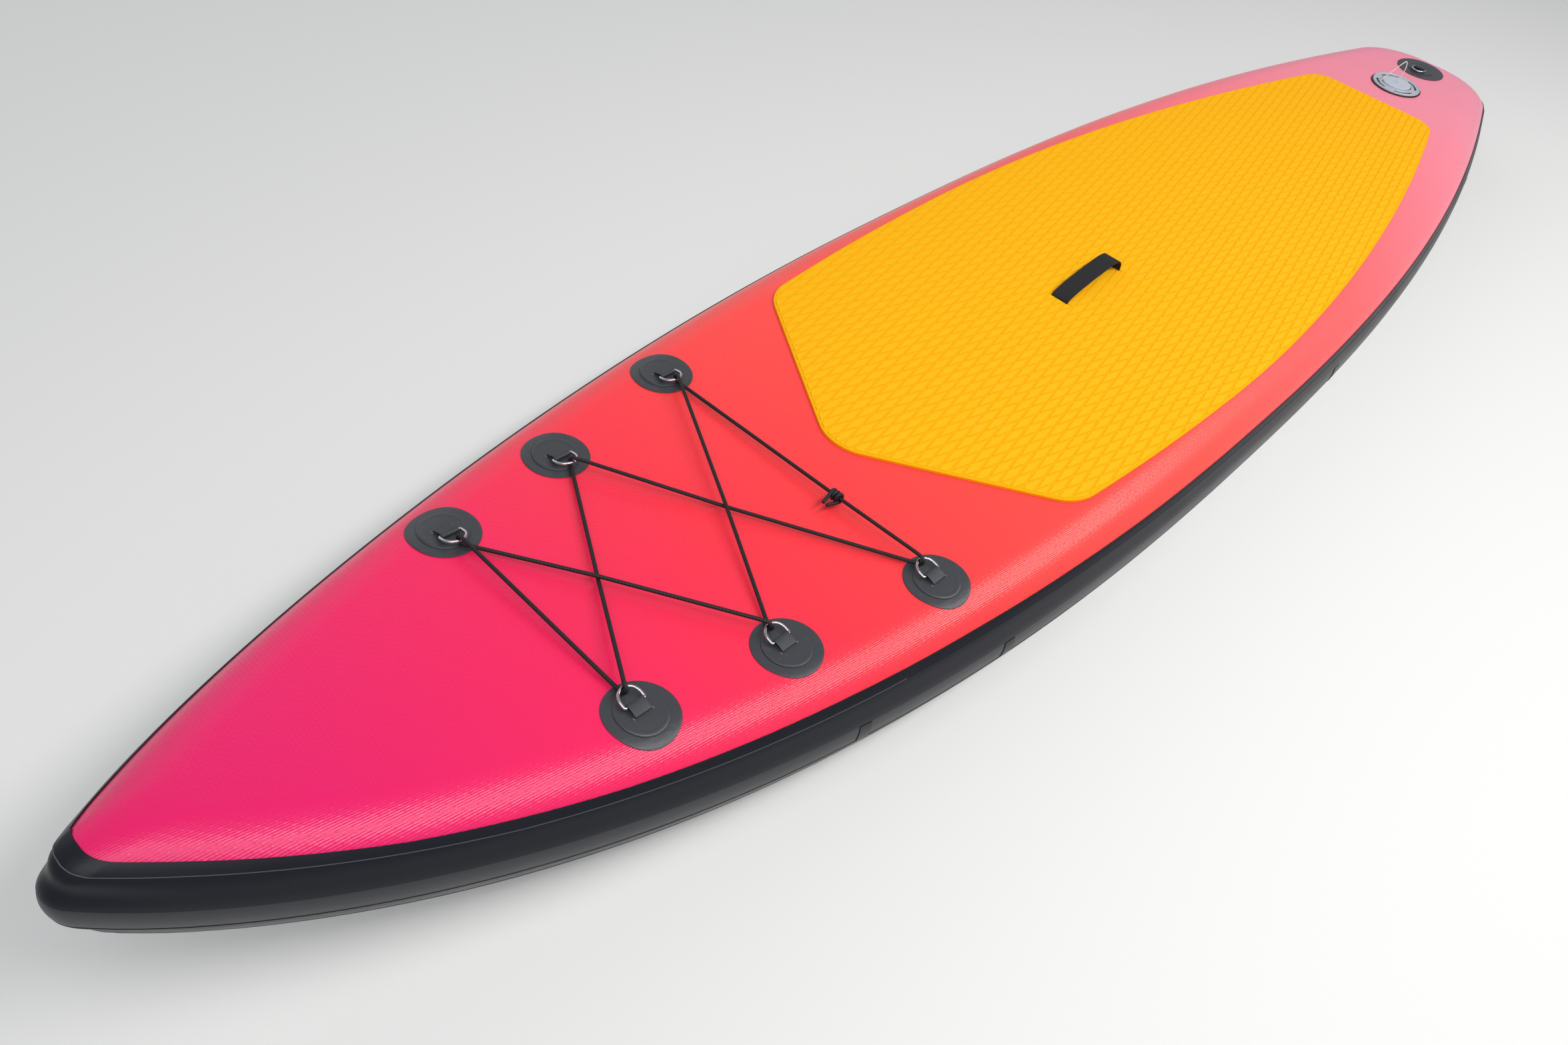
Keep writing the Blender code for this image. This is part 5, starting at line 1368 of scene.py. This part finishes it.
turned_piece("cap_top", rounded_profile(cap_profile, 0.0009), cap_grey, "cap_plastic", ["valve_cap"],
             body="valve_cap")
print("valve at x %.3f m" % valve_point.x)

# %% Flange with its slots
SLOTS, SLOT_HALF_SPAN, SLOT_HALF_WIDTH, SLOT_DEPTH, SLOT_SLOPE = 4, 30.0, 0.0030, 0.0010, 0.0006
INNER_LIP, INNER_LIP_WIDTH, OUTER_LIP, OUTER_LIP_WIDTH = 0.0020, 0.0013, 0.0022, 0.0017
FLANGE_SIDES, FLANGE_STEPS, FLANGE_EDGE, BORE_EDGE, PAINTED_SHADE_FROM = 180, 44, 0.0004, 0.0002, 0.55


def flange_height(radius, turn):
    """Top of the flange: two lips, a land between them and four curved slots in the land."""
    inner, outer = BORE_RADIUS, FLANGE_RADIUS
    lip = max(bell(radius, inner + INNER_LIP, INNER_LIP_WIDTH, 4),
              bell(radius, outer - OUTER_LIP, OUTER_LIP_WIDTH, 4))
    height = FLANGE_HEIGHT - LIP * (1 - lip)
    middle = (inner + outer) / 2
    sweep = (math.degrees(turn) % (360 / SLOTS)) - 180 / SLOTS
    inside = min((SLOT_HALF_WIDTH - abs(radius - middle)) / SLOT_SLOPE, (SLOT_HALF_SPAN - abs(sweep)) / 2.0)
    return height - SLOT_DEPTH * min(1.0, max(0.0, inside))


def build_flange():
    """The housing: its bore, the shaped top of the flange and the barrel below."""
    base = gasket_top + TOUCH
    profile = [(BORE_RADIUS, BARREL_LOW), (BORE_RADIUS, FLANGE_HEIGHT - LIP - BORE_EDGE)]
    profile += [(radius, None) for radius in np.linspace(BORE_RADIUS + FLANGE_EDGE,
                                                         FLANGE_RADIUS - FLANGE_EDGE, FLANGE_STEPS)]
    profile += [(FLANGE_RADIUS, FLANGE_HEIGHT - LIP), (FLANGE_RADIUS, base), (BARREL_RADIUS, base),
                (BARREL_RADIUS, BARREL_LOW)]
    points = [valve_axes @ Vector((radius * math.cos(t), radius * math.sin(t),
                                   flange_height(radius, t) if height is None else height))
              for radius, height in profile for t in circle(FLANGE_SIDES)]
    faces = loops_to_faces(FLANGE_SIDES, len(profile), True)
    made = piece("valve_housing", points, faces, [valve_grey, slot_shade_teal], "valve_plastic", ["valve_body"],
                 sharp=50)
    # The bore wall and the deeper part of each slot take the dark finish: painted shade.
    home, floor = valve_axes.inverted(), FLANGE_HEIGHT - LIP - SLOT_DEPTH * PAINTED_SHADE_FROM
    for face in made.data.polygons:
        spot = home @ face.center
        radius = math.hypot(spot.x, spot.y)
        in_moat = radius < BORE_RADIUS + 0.0001
        in_slot = base < spot.z < floor and BORE_RADIUS + 0.001 < radius < FLANGE_RADIUS - 0.001
        if in_slot or in_moat:
            face.material_index = 1
    print("valve housing:", len(faces), "faces")


build_flange()

# %% [markdown]
# Inside the housing the seat plate carries a spider with a hub, which guides the pin. It is hidden until
# the cap is off, and is drawn as a plain plate with an upright tube.

# %% Seat and hub
SEAT_LOW, SEAT_HIGH, HUB_HIGH, HUB_RADIUS, HUB_BORE = -0.0355, -0.0345, -0.0275, 0.0060, 0.0029
seat_radius = BORE_RADIUS - 0.0002
seat_profile = [(HUB_BORE, SEAT_LOW), (0.0200, SEAT_LOW), (seat_radius, SEAT_LOW), (seat_radius, SEAT_HIGH),
                (HUB_RADIUS, SEAT_HIGH), (HUB_RADIUS, HUB_HIGH), (HUB_BORE, HUB_HIGH)]
turned_piece("valve_seat", rounded_profile(seat_profile, 0.0003), valve_grey, "valve_plastic", [], sides=48)

# %% [markdown]
# The tether is a thin loop of clear plastic from the flange to the cap's middle, standing up because it is
# stiff.

# %% Tether
TETHER_RADIUS, TETHER_RISE = 0.0012, 0.052
tether_shape = [(0.0, 0.0, cap_top + 2 * TOUCH)]
tether_shape += [(x, y, cap_top + share * TETHER_RISE)
                 for x, y, share in ((0.001, 0.0, 0.25), (0.002, 0.001, 0.70), (-0.002, -0.003, 0.97),
                                     (-0.008, -0.009, 0.84), (-0.021, -0.021, 0.35))]
tether_shape.append((-0.030, -0.030, FLANGE_HEIGHT + 2 * TOUCH))
tether_points = [valve_axes @ p for p in smooth_route(tether_shape, 10)]
tether = tube_piece("tether_loop", tether_points, TETHER_RADIUS, tether_clear, "tether_plastic",
                    ["valve_tether"], end=0.0003)
tuple(tether_points[-1])
run_length(tether_points)
[tuple(p) for p in tether_points[::-1]]
print("tether: %.3f m" % run_length(tether_points))

# %% [markdown]
# The valve's spring holds the pin up. Pressing the pin shortens it.

# %% Valve spring
SPRING_LOW, SPRING_HIGH, SPRING_RADIUS, SPRING_WIRE = -0.0265, -0.0120, 0.0048, 0.0007
SPRING_TURNS, PIN_TRAVEL = 5, 0.0050
SPRING_STEPS = 181
coil_line = [valve_axes @ Vector((SPRING_RADIUS * math.cos(2 * math.pi * SPRING_TURNS * t),
                                  SPRING_RADIUS * math.sin(2 * math.pi * SPRING_TURNS * t),
                                  SPRING_LOW + (SPRING_HIGH - SPRING_LOW) * t))
             for t in np.linspace(0, 1, SPRING_STEPS)]
spring_coil = tube_piece("spring_coil", coil_line, SPRING_WIRE, ring_steel, "ring_steel", ["valve_spring"],
                         sides=10, end=0.0001)
tuple(valve_normal)
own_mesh(spring_coil)
print("spring: %.1f mm long" % (1000 * (SPRING_HIGH - SPRING_LOW)))

# %% [markdown]
# ## Solids that stay as they are
#
# These pieces inside the hull and under the tail have the right shape already and only need a finish.

# %% Finishes on the solids
CARRIED = {"handle_anchor_front": webbing, "handle_anchor_rear": webbing,
           "valve_nut": valve_grey, "valve_pin": cap_grey,
           "valve_diaphragm": seal_rubber, "valve_cap_seal": seal_rubber, "fin_box": fin_black,
           "fin_box_patch": patch_vinyl, "fin_box_pin": ring_steel}
for name, finish in CARRIED.items():
    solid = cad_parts[name]
    solid.data.materials.clear()
    solid.data.materials.append(finish.material)
print("solids dressed:", len(CARRIED))

# %% [markdown]
# ## Floor, light and camera
#
# The floor is one large pale plane that fades into the pale sky a few metres out. The sky lights
# everything softly from all sides and looks brighter to the camera than it shines. A long soft box to
# port gives the band of light along the near shoulder of the deck, a wide one stands over the nose, and a
# dim one far to starboard lights the far side.

# %% Floor
FLOOR_WHOLE, FLOOR_GONE, FLOOR_HALF, FLOOR_DROP = 3.4, 7.0, 14, 0.0004
floor_finish = Finish("floor_pale", (0.80, 0.80, 0.79), 0.60)
floor_finish.relief(floor_finish.noise(3.0), 0.0001)
from_middle = floor_finish.x * floor_finish.x + floor_finish.y * floor_finish.y
shown = floor_finish.node("ShaderNodeMapRange", {"interpolation_type": "SMOOTHSTEP"},
                          {"Value": from_middle, "From Min": FLOOR_WHOLE ** 2, "From Max": FLOOR_GONE ** 2,
                           "To Min": 1.0, "To Max": 0.0})
floor_finish.plug(floor_finish.shader.inputs["Alpha"], shown)
floor_mesh = bpy.data.meshes.new("floor")
floor_mesh.from_pydata([(x * FLOOR_HALF, y * FLOOR_HALF, 0) for x, y in ((-1, -1), (1, -1), (1, 1), (-1, 1))],
                       [], [(0, 1, 2, 3)])
floor_mesh.materials.append(floor_finish.material)
floor = added("floor", floor_mesh)
floor.location.z = -FLOOR_DROP
print("floor fades out from %.1f to %.1f m" % (FLOOR_WHOLE, FLOOR_GONE))


# %% Lights
def soft_box(name, place, aim, size, power, colour):
    """A rectangular lamp whose longer side runs along the board."""
    light = bpy.data.lights.new(name, "AREA")
    light.shape, light.size, light.size_y = "RECTANGLE", size[0], size[1]
    light.energy, light.color = power, colour
    back = (Vector(place) - Vector(aim)).normalized()
    long_side = (Vector((1, 0, 0)) - back * back.x).normalized()
    added(name, light).matrix_world = axes_at(long_side, back.cross(long_side), back, place)


SKY_LIGHT, SKY_SEEN = 0.39, 0.80
world = bpy.data.worlds.new("soft_sky")
world.use_nodes = True
sky = world.node_tree.nodes["Background"]
sky.inputs["Color"].default_value = (0.95, 0.97, 1.0, 1)
ray = world.node_tree.nodes.new("ShaderNodeLightPath")
seen = world.node_tree.nodes.new("ShaderNodeMapRange")
seen.inputs["To Min"].default_value, seen.inputs["To Max"].default_value = SKY_LIGHT, SKY_SEEN
world.node_tree.links.new(ray.outputs["Is Camera Ray"], seen.inputs["Value"])
world.node_tree.links.new(seen.outputs["Result"], sky.inputs["Strength"])
bpy.context.scene.world = world
soft_box("port_strip", (-0.6, 1.44, 2.5), (-0.3, 0.2, 0.1), (4.0, 0.20), 62, (1.0, 0.99, 0.97))
soft_box("head_box", (2.2, 0.9, 3.2), (0.0, 0.0, 0.1), (2.6, 2.6), 45, (1.0, 1.0, 1.0))
soft_box("far_card", (-0.6, -3.8, 1.9), (-0.6, 0.0, 0.2), (7.0, 1.8), 20, (0.97, 0.98, 1.0))
print("lamps:", len(bpy.data.lights))

# %% [markdown]
# The camera stands above the nose to port and looks down along the board, turned a little about its own
# line of sight. Its place and angles were solved from the pad, the patches, the handle and the outline.

# %% Camera
CAMERA_PLACE = (1.7323, 0.6836, 1.2780)
HEADING, DOWN, ROLL = 3.72891, 0.78176, 0.22275
FOCAL_PIXELS, IMAGE_WIDTH, SENSOR = 1873.6, 2353, 36.0

ahead = Vector((math.cos(HEADING) * math.cos(DOWN), math.sin(HEADING) * math.cos(DOWN), -math.sin(DOWN)))
level = Vector((math.sin(HEADING), -math.cos(HEADING), 0))
above = level.cross(ahead)
right = level * math.cos(ROLL) + above * math.sin(ROLL)
top = above * math.cos(ROLL) - level * math.sin(ROLL)
camera_data = bpy.data.cameras.new("camera")
camera_data.sensor_fit, camera_data.sensor_width = "HORIZONTAL", SENSOR
camera_data.lens = FOCAL_PIXELS / IMAGE_WIDTH * SENSOR
camera = added("camera", camera_data)
camera.matrix_world = axes_at(right, top, -ahead, CAMERA_PLACE)
bpy.context.scene.camera = camera
bpy.context.scene.view_settings.view_transform = "Standard"
print("lens: %.2f mm" % camera_data.lens)
